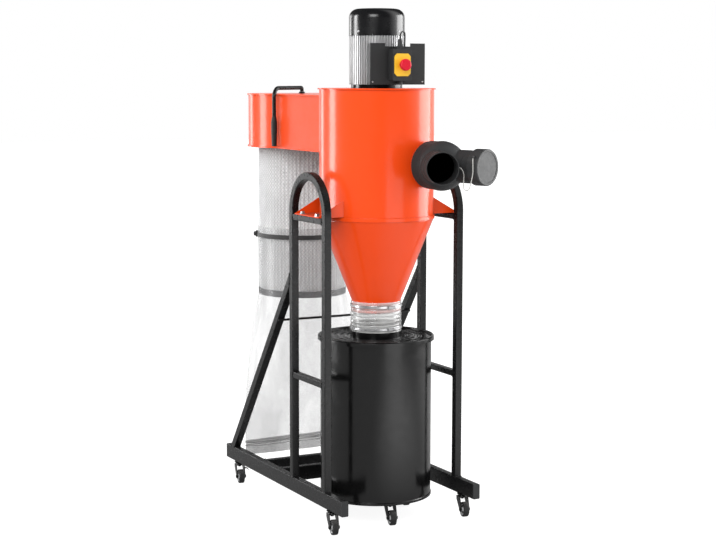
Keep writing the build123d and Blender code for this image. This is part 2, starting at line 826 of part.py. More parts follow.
# Moulded grip: a closed end, a long body and a taper onto the rod
grip_bottom = crank_arm_z - crank_fall - crank_grip_end
grip_x = axis_x + crank_radius * cos(radians(crank_rest))
grip_y = filter_y + crank_radius * sin(radians(crank_rest))
grip_plane = Plane(
    origin=(grip_x, grip_y, 0),
    x_dir=(1, 0, 0),
    z_dir=(0, -1, 0),
)
grip_axis = Axis(grip_plane.origin, (0, 0, 1))
with BuildPart() as crank_grip:
    with BuildSketch(grip_plane):
        with BuildLine():
            Polyline(
                (0, grip_bottom),
                (crank_grip_neck, grip_bottom),
                (crank_grip_neck, grip_bottom + 1),
                (crank_grip_radius, grip_bottom + crank_grip_length / 2),
                (crank_grip_radius, grip_bottom + crank_grip_length - crank_grip_taper),
                (crank_rod / 2 + 0.5, grip_bottom + crank_grip_length),
                (crank_rod / 2, grip_bottom + crank_grip_length),
                (crank_rod / 2, grip_bottom + crank_grip_end),
                (0, grip_bottom + crank_grip_end),
                close=True,
            )
        make_face()
    revolve(axis=grip_axis)
save(crank_grip, "crank_grip")

# Drum shell with its chime, the recessed bottom, and the lid with its rolled rim
with BuildPart() as drum_shell:
    with BuildSketch(cyclone_section):
        with BuildLine():
            Polyline(
                (drum_radius - sheet, drum_bottom),
                (drum_radius + chime, drum_bottom),
                (drum_radius + chime, drum_bottom + chime_height - chime),
                (drum_radius, drum_bottom + chime_height),
                (drum_radius, drum_top),
                (drum_radius - sheet, drum_top),
                close=True,
            )
        make_face()
    revolve(axis=cyclone_axis)
save(drum_shell, "drum_shell")

with BuildPart() as drum_base:
    with BuildSketch(Plane.XY.offset(drum_bottom + drum_recess)):
        with Locations((axis_x, axis_y)):
            Circle(drum_radius - sheet)
    extrude(amount=sheet)
save(drum_base, "drum_base")

with BuildPart() as drum_lid:
    with BuildSketch(cyclone_section):
        with BuildLine():
            Polyline(
                (cone_mouth_radius - sheet, drum_top),
                (drum_radius, drum_top),
                (drum_radius, lid_rim_bottom),
                (lid_rim_radius, lid_rim_bottom),
                (lid_rim_radius, lid_top - lid_bead / 2),
                (lid_rim_radius - lid_bead / 2, lid_top),
                (lid_rim_radius - lid_bead, lid_top),
                (lid_rim_radius - 1.5 * lid_bead, lid_top - lid_bead / 2),
                (lid_rim_radius - 1.5 * lid_bead, drum_top + sheet),
                (collar_radius, drum_top + sheet),
                (collar_radius, sleeve_bottom),
                (cone_mouth_radius, sleeve_bottom),
                (cone_mouth_radius, sleeve_bottom + collar_inside),
                (cone_mouth_radius - sheet, sleeve_bottom + collar_inside),
                close=True,
            )
        make_face()
    revolve(axis=cyclone_axis)
save(drum_lid, "drum_lid")

# Flexible sleeve between the cone and the lid
with BuildPart() as drum_sleeve:
    with BuildSketch(Plane.XY.offset(sleeve_bottom)):
        with Locations((axis_x, axis_y)):
            Circle(cone_mouth_radius + sleeve_gap + sleeve_sheet)
            Circle(cone_mouth_radius + sleeve_gap, mode=Mode.SUBTRACT)
    extrude(amount=cone_bottom - sleeve_bottom - 1)
save(drum_sleeve, "drum_sleeve")

sleeve_outer = cone_mouth_radius + sleeve_gap + sleeve_sheet
with BuildPart() as sleeve_clamps:
    for z in (sleeve_bottom + 8, cone_bottom - 20):
        with BuildSketch(Plane.XY.offset(z)):
            with Locations((axis_x, axis_y)):
                Circle(sleeve_outer + clamp_thickness)
                Circle(sleeve_outer, mode=Mode.SUBTRACT)
        extrude(amount=clamp_width)
        screw_plane = Plane(
            origin=(axis_x, axis_y, z + clamp_width / 2),
            x_dir=(cos(radians(clamp_screw_angle)), sin(radians(clamp_screw_angle)), 0),
            z_dir=(-sin(radians(clamp_screw_angle)), cos(radians(clamp_screw_angle)), 0),
        )
        screw_x = sleeve_outer + clamp_thickness + clamp_screw_radius
        with BuildSketch(screw_plane):
            with Locations((screw_x - clamp_thickness / 2, 0)):
                Rectangle(2 * clamp_screw_radius + clamp_thickness, clamp_width)
        extrude(amount=clamp_block_length / 2, both=True)
        with BuildSketch(screw_plane):
            with Locations((screw_x, 0)):
                Circle(clamp_screw_radius)
        extrude(amount=clamp_screw_length - clamp_block_length / 2)
save(sleeve_clamps, "sleeve_clamps")

# Casters: four under the rails and three under the drum
frame_casters = (
    ("front_left", axis_x - half_track, axis_y - rail_front + caster_inset),
    ("front_right", axis_x + half_track, axis_y - rail_front + caster_inset),
    ("rear_left", axis_x - half_track, axis_y + rail_rear - caster_inset),
    ("rear_right", axis_x + half_track, axis_y + rail_rear - caster_inset),
)
drum_caster_names = ("drum_front", "drum_right", "drum_left")
drum_casters = tuple(
    (
        name,
        axis_x + drum_caster_radius * cos(radians(drum_caster_angle + 120 * step)),
        axis_y + drum_caster_radius * sin(radians(drum_caster_angle + 120 * step)),
    )
    for step, name in enumerate(drum_caster_names)
)

# Upper races of the swivels, pressed under the rails and the drum's bottom
with BuildPart() as caster_mounts:
    for name, x, y in frame_casters + drum_casters:
        with BuildSketch(Plane.XY.offset(rail_bottom)):
            with Locations((x, y)):
                Circle(caster_cap_radius)
        with BuildSketch(Plane.XY.offset(rail_bottom - caster_cap_height)):
            with Locations((x, y)):
                Circle(caster_race_radius)
        loft()
save(caster_mounts, "caster_mounts")

trail_x = cos(radians(caster_heading))
trail_y = sin(radians(caster_heading))
fork_top = rail_bottom - caster_cap_height - caster_race_gap
crown_top = fork_top - fork_dish_height
fork_inner = caster_wheel_width / 2 + fork_gap
fork_half = fork_inner + fork_sheet
half_wheel = caster_wheel_width / 2
for name, x, y in frame_casters + drum_casters:
    side_plane = Plane(origin=(x, y, 0), x_dir=(trail_x, trail_y, 0), z_dir=(trail_y, -trail_x, 0))
    with BuildPart() as fork:
        with BuildSketch(side_plane):
            with Locations((0, crown_top - fork_shoulder / 2)):
                Rectangle(2 * fork_crown, fork_shoulder)
            with Locations((caster_trail, caster_wheel_radius)):
                Circle(fork_boss)
            make_hull()
        extrude(amount=fork_half, both=True)
        with BuildSketch(side_plane):
            with Locations((0, (crown_top - fork_sheet) / 2)):
                Rectangle(6 * fork_crown, crown_top - fork_sheet)
        extrude(amount=fork_inner, both=True, mode=Mode.SUBTRACT)
        with BuildSketch(Plane.XY.offset(crown_top)):
            with Locations((x, y)):
                Circle(fork_dish_radius)
        with BuildSketch(Plane.XY.offset(fork_top)):
            with Locations((x, y)):
                Circle(caster_race_radius)
        loft()
        with BuildSketch(side_plane):
            with Locations((caster_trail, caster_wheel_radius)):
                Circle(axle_radius)
        extrude(amount=fork_half, both=True)
        for side in (-1, 1):
            with BuildSketch(side_plane.offset(side * fork_half)):
                with Locations((caster_trail, caster_wheel_radius)):
                    RegularPolygon(axle_head_radius, 6)
            extrude(amount=side * axle_head_height)
    save(fork, "caster_fork_" + name)
    wheel_section = Plane(
        origin=(x + caster_trail * trail_x, y + caster_trail * trail_y, caster_wheel_radius),
        x_dir=(0, 0, 1),
        z_dir=(trail_x, trail_y, 0),
    )
    with BuildPart() as wheel:
        with BuildSketch(wheel_section):
            with BuildLine():
                Polyline(
                    (axle_radius + axle_clearance, 0),
                    (axle_radius + axle_clearance, half_wheel),
                    (caster_hub_radius, half_wheel),
                    (caster_hub_radius, half_wheel - caster_web_depth),
                    (caster_rim_radius - 1, half_wheel - caster_web_depth),
                    (caster_rim_radius, half_wheel - caster_rim_depth),
                    (caster_wheel_radius - caster_wheel_shoulder, half_wheel),
                    (caster_wheel_radius, half_wheel - caster_wheel_shoulder),
                    (caster_wheel_radius, 0),
                    close=True,
                )
            make_face()
            mirror(about=Plane.XZ)
        revolve(axis=Axis(wheel_section.origin, wheel_section.y_dir))
    save(wheel, "caster_wheel_" + name)
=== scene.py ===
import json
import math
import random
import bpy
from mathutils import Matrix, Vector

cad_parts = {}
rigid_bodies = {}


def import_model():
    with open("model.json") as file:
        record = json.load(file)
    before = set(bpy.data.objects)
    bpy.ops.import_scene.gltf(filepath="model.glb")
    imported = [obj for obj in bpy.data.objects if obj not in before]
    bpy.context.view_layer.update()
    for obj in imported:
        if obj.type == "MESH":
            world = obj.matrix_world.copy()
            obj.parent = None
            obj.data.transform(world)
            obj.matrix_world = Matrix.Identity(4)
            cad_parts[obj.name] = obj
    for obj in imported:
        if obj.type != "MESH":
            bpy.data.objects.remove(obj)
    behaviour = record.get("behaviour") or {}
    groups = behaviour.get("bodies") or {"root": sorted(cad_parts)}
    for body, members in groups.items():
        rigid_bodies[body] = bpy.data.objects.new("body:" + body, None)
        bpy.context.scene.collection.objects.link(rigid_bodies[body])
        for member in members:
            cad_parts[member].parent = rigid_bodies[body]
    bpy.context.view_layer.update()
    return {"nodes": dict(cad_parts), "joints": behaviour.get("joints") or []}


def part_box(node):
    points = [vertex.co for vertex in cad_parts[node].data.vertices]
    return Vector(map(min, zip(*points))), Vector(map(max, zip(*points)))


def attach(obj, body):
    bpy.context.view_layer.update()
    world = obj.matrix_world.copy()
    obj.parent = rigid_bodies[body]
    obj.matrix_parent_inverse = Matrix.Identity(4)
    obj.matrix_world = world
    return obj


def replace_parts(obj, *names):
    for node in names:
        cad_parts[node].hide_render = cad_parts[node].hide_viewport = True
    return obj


bl_info = {
    "name": "Cyclone Dust Collector",
    "version": (1, 0, 0),
    "blender": (4, 5, 0),
    "location": "3D View > Sidebar > Collector",
    "description": "Finishes, soft parts, fasteners and a studio for a mobile cyclone dust collector",
    "category": "Object",
}

import bmesh
import bpy
from mathutils import Matrix, Vector, noise

for leftover in list(bpy.data.objects):
    bpy.data.objects.remove(leftover)

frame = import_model()

# Where things are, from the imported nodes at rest
MM = 0.001
band_low, band_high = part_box("cyclone_band")
cyclone = (band_low + band_high) / 2
ring_low, ring_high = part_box("canister_base_ring")
canister_low, canister_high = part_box("filter_canister")
filter_axis = (ring_low + ring_high) / 2
canister_radius = (canister_high.x - canister_low.x) / 2
canister_tall = canister_high.z - canister_low.z
ring_radius = (ring_high.x - ring_low.x) / 2
rail_low, rail_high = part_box("base_rails")
leg_low, leg_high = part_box("arch_left")
barrel_low, barrel_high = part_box("cyclone_barrel")
bag_low, bag_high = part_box("dust_bag")
sleeve_low, sleeve_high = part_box("drum_sleeve")
strap_low, strap_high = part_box("bag_strap")

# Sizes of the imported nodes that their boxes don't give
HALF_TUBE = 12.5 * MM
BRACKET_FOOT = 3 * MM
BOLT_REACH = 55 * MM
STUB_X = 103 * MM
STUB_Z = 1186 * MM
STUB_BORE = 73.3 * MM
LID_TOP = 606 * MM
WHEEL_HALF = 10 * MM
WHEEL_RIM = 18.5 * MM
WHEEL_BOSS = 7.5 * MM
AXLE_RADIUS = 3.2 * MM
FORK_HALF = 15.5 * MM
CROWN_DEPTH = 6.4 * MM
TUBES_X = (rail_low.x + HALF_TUBE, rail_high.x - HALF_TUBE)

X = Vector((1.0, 0.0, 0.0))
Y = Vector((0.0, 1.0, 0.0))
Z = Vector((0.0, 0.0, 1.0))

CASTERS = ("front_left", "front_right", "rear_left", "rear_right", "drum_front", "drum_right", "drum_left")


# Sizes and colours that a user would change

def colour_field(name, description, value):
    return bpy.props.FloatVectorProperty(
        name=name, description=description, subtype="COLOR", size=4, min=0.0, max=1.0, default=(*value, 1.0))


def length_field(name, description, value):
    return bpy.props.FloatProperty(name=name, description=description, unit="LENGTH", default=value, min=0.0)


def count_field(name, description, value):
    return bpy.props.IntProperty(name=name, description=description, default=value, min=2)


def number_field(name, description, value):
    return bpy.props.FloatProperty(name=name, description=description, default=value)


class CollectorColours(bpy.types.PropertyGroup):
    paint: colour_field("Paint", "Orange of the cyclone and the filter head", (0.98, 0.074, 0.005))
    frame: colour_field("Frame", "Powder coat of the tube frame", (0.006, 0.006, 0.0063))
    drum: colour_field("Drum", "Paint of the dust drum and its lid", (0.003, 0.003, 0.0031))
    plastic: colour_field("Moulded plastic", "Inlet fitting, boxes and glands", (0.034, 0.035, 0.036))
    cap: colour_field("Inlet cap", "Cap of the closed branch", (0.035, 0.036, 0.037))
    cowl: colour_field("Cowl", "Fan cowl of the motor", (0.006, 0.006, 0.007))
    motor: colour_field("Motor", "Cast body of the motor", (0.62, 0.62, 0.625))
    panel: colour_field("Panel", "Folded sheet that carries the switch", (0.020, 0.020, 0.0205))
    plate: colour_field("Plate", "Cover plate of the switch", (0.95, 0.56, 0.03))
    button: colour_field("Button", "Stop button", (0.70, 0.008, 0.03))
    media: colour_field("Filter media", "Pleated cloth of the filter", (0.96, 0.96, 0.96))
    screen: colour_field("Screen", "Expanded mesh round the pleats", (0.72, 0.72, 0.73))
    film: colour_field("Film", "Plastic of the dust bag", (0.55, 0.55, 0.555))
    hem: colour_field("Hem", "Welded bands of the bag", (0.38, 0.38, 0.38))
    hose: colour_field("Sleeve", "Clear plastic over the drum", (0.86, 0.86, 0.85))
    steel: colour_field("Bright steel", "Screws, bolts and clamps", (0.62, 0.62, 0.63))
    rubber: colour_field("Rubber", "Grip, lead, strap and tyres", (0.014, 0.014, 0.0145))
    hub: colour_field("Hub", "Wheel centres", (0.66, 0.67, 0.68))
    # Painted shade: the near black that is laid inside the barrel and its stub, where the inlet's throat is dark
    inside: colour_field("Inside", "Bare wall inside the cyclone", (0.006, 0.005, 0.005))
    cord: colour_field("Tether", "Cord that holds the inlet cap", (0.62, 0.61, 0.58))


class FilterSizes(bpy.types.PropertyGroup):
    pleats: count_field("Pleats", "Pleats round the filter", 66)
    pleat_depth: length_field("Pleat depth", "How deep each pleat is", 0.010)
    diamonds: count_field("Diamonds", "Mesh diamonds round the filter", 78)
    strand: length_field("Strand", "Width of the strands of the mesh", 0.0017)


class BagSizes(bpy.types.PropertyGroup):
    sheet: length_field("Film", "Thickness that the film is drawn with", 0.0006)
    hem_rise: length_field("Hem", "Height of the welded hem above the bag's lower edge", 0.046)
    hem_depth: length_field("Hem depth", "Half the thickness of the bag at its hem", 0.012)
    sag: length_field("Sag", "How far the hem rises and dips", 0.010)
    slack: length_field("Slack", "How far the film stands off the ring", 0.0007)
    gathers: count_field("Gathers", "Small tucks under the strap", 42)
    tuck: length_field("Tuck", "Depth of the tucks under the strap", 0.0014)
    fold: length_field("Fold", "Depth of the long folds below the filter", 0.0065)


class SleeveSizes(bpy.types.PropertyGroup):
    ribs: count_field("Ribs", "Turns of wire in the sleeve", 8)
    rib_depth: length_field("Rib depth", "How far the film dips between two turns", 0.0018)
    wire: length_field("Wire", "Diameter of the wire in the sleeve", 0.0016)
    ridge_width: length_field("Ridge width", "Width of each ring pressed into the lid", 0.012)
    ridge_rise: length_field("Ridge rise", "How far each ring stands above the lid", 0.0026)


class FastenerSizes(bpy.types.PropertyGroup):
    weld: length_field("Weld", "Width of the weld beads on the frame", 0.0042)
    bolt: length_field("Bolt", "Size of the bolts across the flats", 0.013)
    screw: length_field("Screw", "Head diameter of the small screws", 0.008)


class StageSizes(bpy.types.PropertyGroup):
    lens: number_field("Lens", "Focal length in millimetres", 81.9)
    camera: bpy.props.FloatVectorProperty(
        name="Camera", description="Where the camera stands", subtype="XYZ", unit="LENGTH",
        default=(-2.5307, -4.9391, 1.4722))
    turn: number_field("Turn", "Degrees right of straight back", 27.33)
    tilt: number_field("Tilt", "Degrees below level", 6.80)
    roll: number_field("Roll", "Degrees about the line of sight", 0.10)
    floor: length_field("Floor", "Side of the square floor", 60.0)


SETTINGS = {
    "collector_colours": CollectorColours,
    "collector_filter": FilterSizes,
    "collector_bag": BagSizes,
    "collector_sleeve": SleeveSizes,
    "collector_fasteners": FastenerSizes,
    "collector_stage": StageSizes,
}


# Wiring of shader trees

def wire(tree, kind, inputs=None, **settings):
    """Adds a node, sets its options, and links or sets its inputs."""
    node = tree.nodes.new(kind)
    for option, value in settings.items():
        setattr(node, option, value)
    for key, value in (inputs or {}).items():
        if isinstance(value, bpy.types.NodeSocket):
            tree.links.new(value, node.inputs[key])
        else:
            node.inputs[key].default_value = value
    return node


def reckon(tree, operation, first, second=0.0):
    """One step of arithmetic on two values."""
    return wire(tree, "ShaderNodeMath", {0: first, 1: second}, operation=operation).outputs[0]


def product(tree, first, second):
    return reckon(tree, "MULTIPLY", first, second)


def total(tree, first, second):
    return reckon(tree, "ADD", first, second)


def reckon_vector(tree, operation, first, second=(0.0, 0.0, 0.0)):
    """One step on two vectors. It gives a vector, or a value where the operation measures."""
    node = wire(tree, "ShaderNodeVectorMath", {0: first, 1: second}, operation=operation)
    return node.outputs["Value" if operation in ("DOT_PRODUCT", "LENGTH") else "Vector"]


def part_of(tree, vector, axis):
    return wire(tree, "ShaderNodeSeparateXYZ", {0: vector}).outputs[axis]


def spread(tree, value, low, high, new_low, new_high):
    """A value moved from one range to another."""
    node = wire(tree, "ShaderNodeMapRange", {
        "Value": value, "From Min": low, "From Max": high, "To Min": new_low, "To Max": new_high})
    return node.outputs["Result"]


def mask(tree, value, low, high):
    """0 at the first bound, 1 at the second and beyond it."""
    return spread(tree, value, low, high, 0.0, 1.0)


def blend_colours(tree, share, first, second):
    return wire(tree, "ShaderNodeMix", {0: share, 6: first, 7: second}, data_type="RGBA").outputs[2]


def object_place(tree):
    return wire(tree, "ShaderNodeTexCoord").outputs["Object"]


def clouds(tree, place, scale, detail, roughness=0.5, noise_type="FBM"):
    """Noise over a place: its value first, and its colour."""
    return wire(tree, "ShaderNodeTexNoise", {
        "Vector": place, "Scale": scale, "Detail": detail, "Roughness": roughness}, noise_type=noise_type).outputs


# Shared effects. Each function wires the inside of a group and returns its outputs in order.

def wire_grain(tree, taken):
    """The small waviness that sprayed and moulded skins have."""
    place = object_place(tree)
    fine = clouds(tree, place, taken["Scale"], 3.0)[0]
    broad = clouds(tree, place, taken["Waves"], 2.0)[0]
    return total(tree, product(tree, fine, 0.7), product(tree, broad, 0.3)), broad


def wire_worn_edges(tree, taken):
    """A broken mask of the edges that hands and tools rub, and a normal that softens them."""
    softened = wire(tree, "ShaderNodeBevel", {"Radius": taken["Radius"]}, samples=4).outputs[0]
    sharp = wire(tree, "ShaderNodeNewGeometry").outputs["Normal"]
    edge = mask(tree, reckon_vector(tree, "DOT_PRODUCT", softened, sharp), 0.99, 0.85)
    patches = clouds(tree, object_place(tree), taken["Patches"], 4.0, 0.7)[0]
    return product(tree, edge, mask(tree, patches, 0.48, 0.62)), softened


def wire_colour_drift(tree, taken):
    """A colour that is a little lighter and darker from place to place."""
    patches = clouds(tree, object_place(tree), taken["Scale"], 3.0)[0]
    shift = product(tree, spread(tree, patches, 0.3, 0.7, -1.0, 1.0), taken["Amount"])
    drift = wire(tree, "ShaderNodeHueSaturation", {"Value": total(tree, shift, 1.0), "Color": taken["Color"]})
    return (drift.outputs[0],)


def wire_settled_dust(tree, taken):
    """A mask of the faces that look up, where fine dust lies."""
    upward = part_of(tree, wire(tree, "ShaderNodeNewGeometry").outputs["Normal"], "Z")
    patches = clouds(tree, object_place(tree), taken["Scale"], 6.0, 0.65)[0]
    cover = product(tree, mask(tree, upward, 0.55, 1.0), mask(tree, patches, 0.35, 0.75))
    return (product(tree, cover, taken["Amount"]),)


def wire_film_creases(tree, taken):
    """Creases and haze of thin plastic that has been folded and hung."""
    place = reckon_vector(tree, "MULTIPLY", object_place(tree), taken["Stretch"])
    bent = reckon_vector(tree, "ADD", place, clouds(tree, place, 4.0, 2.0)["Color"])
    ridges = clouds(tree, bent, taken["Scale"], 3.0, noise_type="RIDGED_MULTIFRACTAL")[0]
    return ridges, clouds(tree, place, 7.0, 5.0, 0.6)[0]


def wire_drawn_lines(tree, taken):
    """Long fine lines along one direction, as rolling, drawing or brushing leaves."""
    place = reckon_vector(tree, "MULTIPLY", object_place(tree), taken["Stretch"])
    lines = clouds(tree, place, taken["Scale"], 2.0)[0]
    return lines, lines


def wire_plain_weave(tree, taken):
    """Threads that cross over and under each other."""
    place = object_place(tree)
    around = reckon(tree, "SUBTRACT", part_of(tree, place, "X"), part_of(tree, place, "Y"))
    across, upright = (
        reckon(tree, "SINE", product(tree, along, taken["Threads"])) for along in (around, part_of(tree, place, "Z")))
    height = mask(tree, product(tree, across, upright), -1.0, 1.0)
    return height, height


# Effect: its wiring, what it takes with the usual values, and what it gives
EFFECTS = {
    "Surface Grain": (wire_grain, {"Scale": 600.0, "Waves": 60.0}, ("Height", "Shade")),
    "Worn Edges": (wire_worn_edges, {"Radius": 0.0015, "Patches": 45.0}, ("Mask", "Normal")),
    "Colour Drift": (
        wire_colour_drift, {"Color": (0.5, 0.5, 0.5, 1.0), "Scale": 6.0, "Amount": 0.05}, ("Color",)),
    "Settled Dust": (wire_settled_dust, {"Amount": 0.2, "Scale": 28.0}, ("Mask",)),
    "Film Creases": (wire_film_creases, {"Scale": 14.0, "Stretch": (1.0, 1.0, 0.35)}, ("Height", "Shade")),
    "Drawn Lines": (wire_drawn_lines, {"Scale": 300.0, "Stretch": (1.0, 1.0, 0.02)}, ("Height", "Shade")),
    "Plain Weave": (wire_plain_weave, {"Threads": 900.0}, ("Height", "Shade")),
}
SOCKET_KINDS = {"Color": "Color", "Normal": "Vector", "Stretch": "Vector"}


def build_effect(name):
    """Makes the group of a shared effect, with its sockets and its nodes."""
    wiring, takes, gives = EFFECTS[name]
    group = bpy.data.node_groups.new(name, "ShaderNodeTree")
    for side, labels in (("INPUT", takes), ("OUTPUT", gives)):
        for label in labels:
            kind = "NodeSocket" + SOCKET_KINDS.get(label, "Float")
            socket = group.interface.new_socket(label, in_out=side, socket_type=kind)
            if side == "INPUT":
                socket.default_value = takes[label]
    taken = group.nodes.new("NodeGroupInput").outputs
    given = group.nodes.new("NodeGroupOutput").inputs
    for label, result in zip(gives, wiring(group, taken)):
        group.links.new(result, given[label])
    return group


def place_effect(tree, name, **values):
    """Puts a shared effect into a material, with this material's values."""
    group = bpy.data.node_groups.get(name) or build_effect(name)
    return wire(tree, "ShaderNodeGroup", values, node_tree=group).outputs


# Finishes

DUST = (0.42, 0.40, 0.38, 1.0)
BOUNCED_PAINT = (0.12, 0.07, 0.06, 1.0)
BELOW_HEM = (0.30, 0.30, 0.30, 1.0)
# Painted highlight laid on the crowns of the strap's threads
PAINTED_THREAD_HIGHLIGHT = (0.10, 0.10, 0.10, 1.0)


def raise_bump(tree, sockets, height, depth, normal=None):
    """Feeds a height in metres, as far as it goes, into the shader's normal."""
    inputs = {"Height": height, "Distance": depth}
    if normal is not None:
        inputs["Normal"] = normal
    tree.links.new(wire(tree, "ShaderNodeBump", inputs).outputs[0], sockets["Normal"])


def set_shine(tree, sockets, shade, shine):
    """Sets the shader's sockets, each to one value or to a range that a shade moves over."""
    for label, value in shine.items():
        if isinstance(value, tuple):
            tree.links.new(spread(tree, shade, 0.3, 0.7, *value), sockets[label])
        else:
            sockets[label].default_value = value


def lay_over(tree, sockets, share, colour):
    """Covers a share of the base colour with another one."""
    base = sockets["Base Color"].links[0].from_socket
    tree.links.new(blend_colours(tree, share, base, colour), sockets["Base Color"])


def lay_coat(tree, sockets, colour, worn_colour, roughness, grain, depth, wear, dust, drift=0.06, edge=0.0015,
             **shine):
    """Paint, powder coat or moulded plastic: grain, drift, dust on top and worn edges."""
    skin = place_effect(tree, "Surface Grain", Scale=grain, Waves=grain / 12)
    worn = place_effect(tree, "Worn Edges", Radius=edge)
    tint = place_effect(tree, "Colour Drift", Color=colour, Amount=drift)
    settled = place_effect(tree, "Settled Dust", Amount=dust)["Mask"]
    tree.links.new(tint["Color"], sockets["Base Color"])
    lay_over(tree, sockets, product(tree, worn["Mask"], wear), (*worn_colour, 1.0))
    lay_over(tree, sockets, settled, DUST)
    satin = spread(tree, skin["Shade"], 0.3, 0.7, roughness - 0.05, roughness + 0.05)
    tree.links.new(total(tree, satin, product(tree, settled, 0.4)), sockets["Roughness"])
    raise_bump(tree, sockets, skin["Height"], depth, worn["Normal"])
    set_shine(tree, sockets, skin["Shade"], shine)
    return skin


def lay_skin(tree, sockets, colour, patches, drift, effect, values, depth, **shine):
    """A skin whose bump and shine come from one shared effect. With no depth it has no bump."""
    skin = place_effect(tree, effect, **values)
    tint = place_effect(tree, "Colour Drift", Color=colour, Scale=patches, Amount=drift)
    tree.links.new(tint["Color"], sockets["Base Color"])
    set_shine(tree, sockets, skin["Shade"], shine)
    if depth:
        raise_bump(tree, sockets, skin["Height"], depth)
    return skin


def dull_bounce(tree, sockets, skin, colours):
    """Light that bounces off the paint carries less of its orange on to its neighbours."""
    path = wire(tree, "ShaderNodeLightPath").outputs
    bounced = reckon(tree, "MAXIMUM", path["Is Diffuse Ray"], path["Is Glossy Ray"])
    lay_over(tree, sockets, product(tree, bounced, 0.75), BOUNCED_PAINT)


def paint_shade_inside(tree, sockets, skin, colours):
    """Painted shade: near black laid on the wall inside the barrel and its stub, so the throat of the inlet looks dark.
    """
    place = object_place(tree)

    def nearer(centre, plane, reach):
        offset = reckon_vector(tree, "MULTIPLY", reckon_vector(tree, "SUBTRACT", place, centre), plane)
        return reckon(tree, "LESS_THAN", reckon_vector(tree, "LENGTH", offset), reach)

    wall = (barrel_high.x - barrel_low.x) / 2 - 1 * MM
    in_barrel = nearer((cyclone.x, cyclone.y, 0.0), (1.0, 1.0, 0.0), wall)
    in_stub = nearer((STUB_X, 0.0, STUB_Z), (1.0, 0.0, 1.0), STUB_BORE)
    forward = reckon(tree, "LESS_THAN", part_of(tree, place, "Y"), cyclone.y)
    inside = reckon(tree, "MAXIMUM", in_barrel, product(tree, in_stub, forward))
    lay_over(tree, sockets, inside, tuple(colours.inside))


def grey_below_hem(tree, sockets, skin, colours):
    """The film's loose end below the hem is greyer and less clear."""
    hem = bag_low.z + bpy.context.scene.collector_bag.hem_rise
    below = mask(tree, part_of(tree, object_place(tree), "Z"), hem + 6 * MM, hem - 8 * MM)
    lay_over(tree, sockets, below, BELOW_HEM)
    clear = sockets["Alpha"].links[0].from_socket
    tree.links.new(total(tree, clear, product(tree, below, 0.14)), sockets["Alpha"])


def paint_thread_highlights(tree, sockets, skin, colours):
    """Painted highlight: the crowns of the threads are coloured paler, as if light caught them."""
    lay_over(tree, sockets, product(tree, skin["Shade"], 0.35), PAINTED_THREAD_HIGHLIGHT)


def cast_grain(tree, sockets, skin, colours):
    """The bump of cast metal, with softened edges."""
    grain = place_effect(tree, "Surface Grain", Scale=1600.0, Waves=90.0)
    worn = place_effect(tree, "Worn Edges", Radius=0.0008, Patches=60.0)
    raise_bump(tree, sockets, grain["Height"], 0.00012, worn["Normal"])


def grey(level):
    return (level, level, level)


ENAMEL = ("paint", (1.0, 0.20, 0.06), 0.36, 420.0, 0.00004, 0.25, 0.01, {
    "drift": 0.02, "Specular IOR Level": 0.12, "Coat Weight": 0.55, "Coat Roughness": 0.16})

# Coat: its colour, the colour it wears to, roughness, grain and its depth, wear, dust, and what differs from usual
COATS = {
    "orange_gloss": ENAMEL,
    "barrel_gloss": ENAMEL,
    "powder_black": ("frame", grey(0.05), 0.30, 900.0, 0.00002, 0.35, 0.01, {
        "edge": 0.003, "Specular IOR Level": 0.42}),
    "drum_gloss": ("drum", grey(0.05), 0.20, 380.0, 0.00001, 0.3, 0.005, {}),
    "moulded_black": ("plastic", grey(0.10), 0.50, 1400.0, 0.00010, 0.3, 0.02, {"Specular IOR Level": 0.3}),
    "cap_charcoal": ("cap", grey(0.16), 0.50, 1400.0, 0.00010, 0.3, 0.02, {}),
    "cowl_gloss": ("cowl", grey(0.05), 0.24, 300.0, 0.00002, 0.2, 0.0, {
        "Coat Weight": 0.4, "Coat Roughness": 0.16}),
    "charcoal_sheet": ("panel", grey(0.16), 0.46, 1500.0, 0.00010, 0.5, 0.04, {}),
    "signal_yellow": ("plate", (1.0, 0.75, 0.25), 0.32, 700.0, 0.00003, 0.2, 0.02, {}),
    "signal_red": ("button", (0.9, 0.1, 0.1), 0.30, 600.0, 0.00003, 0.2, 0.0, {"Specular IOR Level": 0.3}),
    "soft_rubber": ("rubber", grey(0.07), 0.55, 1200.0, 0.00010, 0.4, 0.15, {}),
    "hub_grey": ("hub", grey(0.7), 0.36, 900.0, 0.00005, 0.2, 0.08, {}),
    "black_zinc": ("frame", (0.25, 0.24, 0.22), 0.27, 700.0, 0.00006, 0.5, 0.08, {"edge": 0.0008, "Metallic": 0.35}),
}

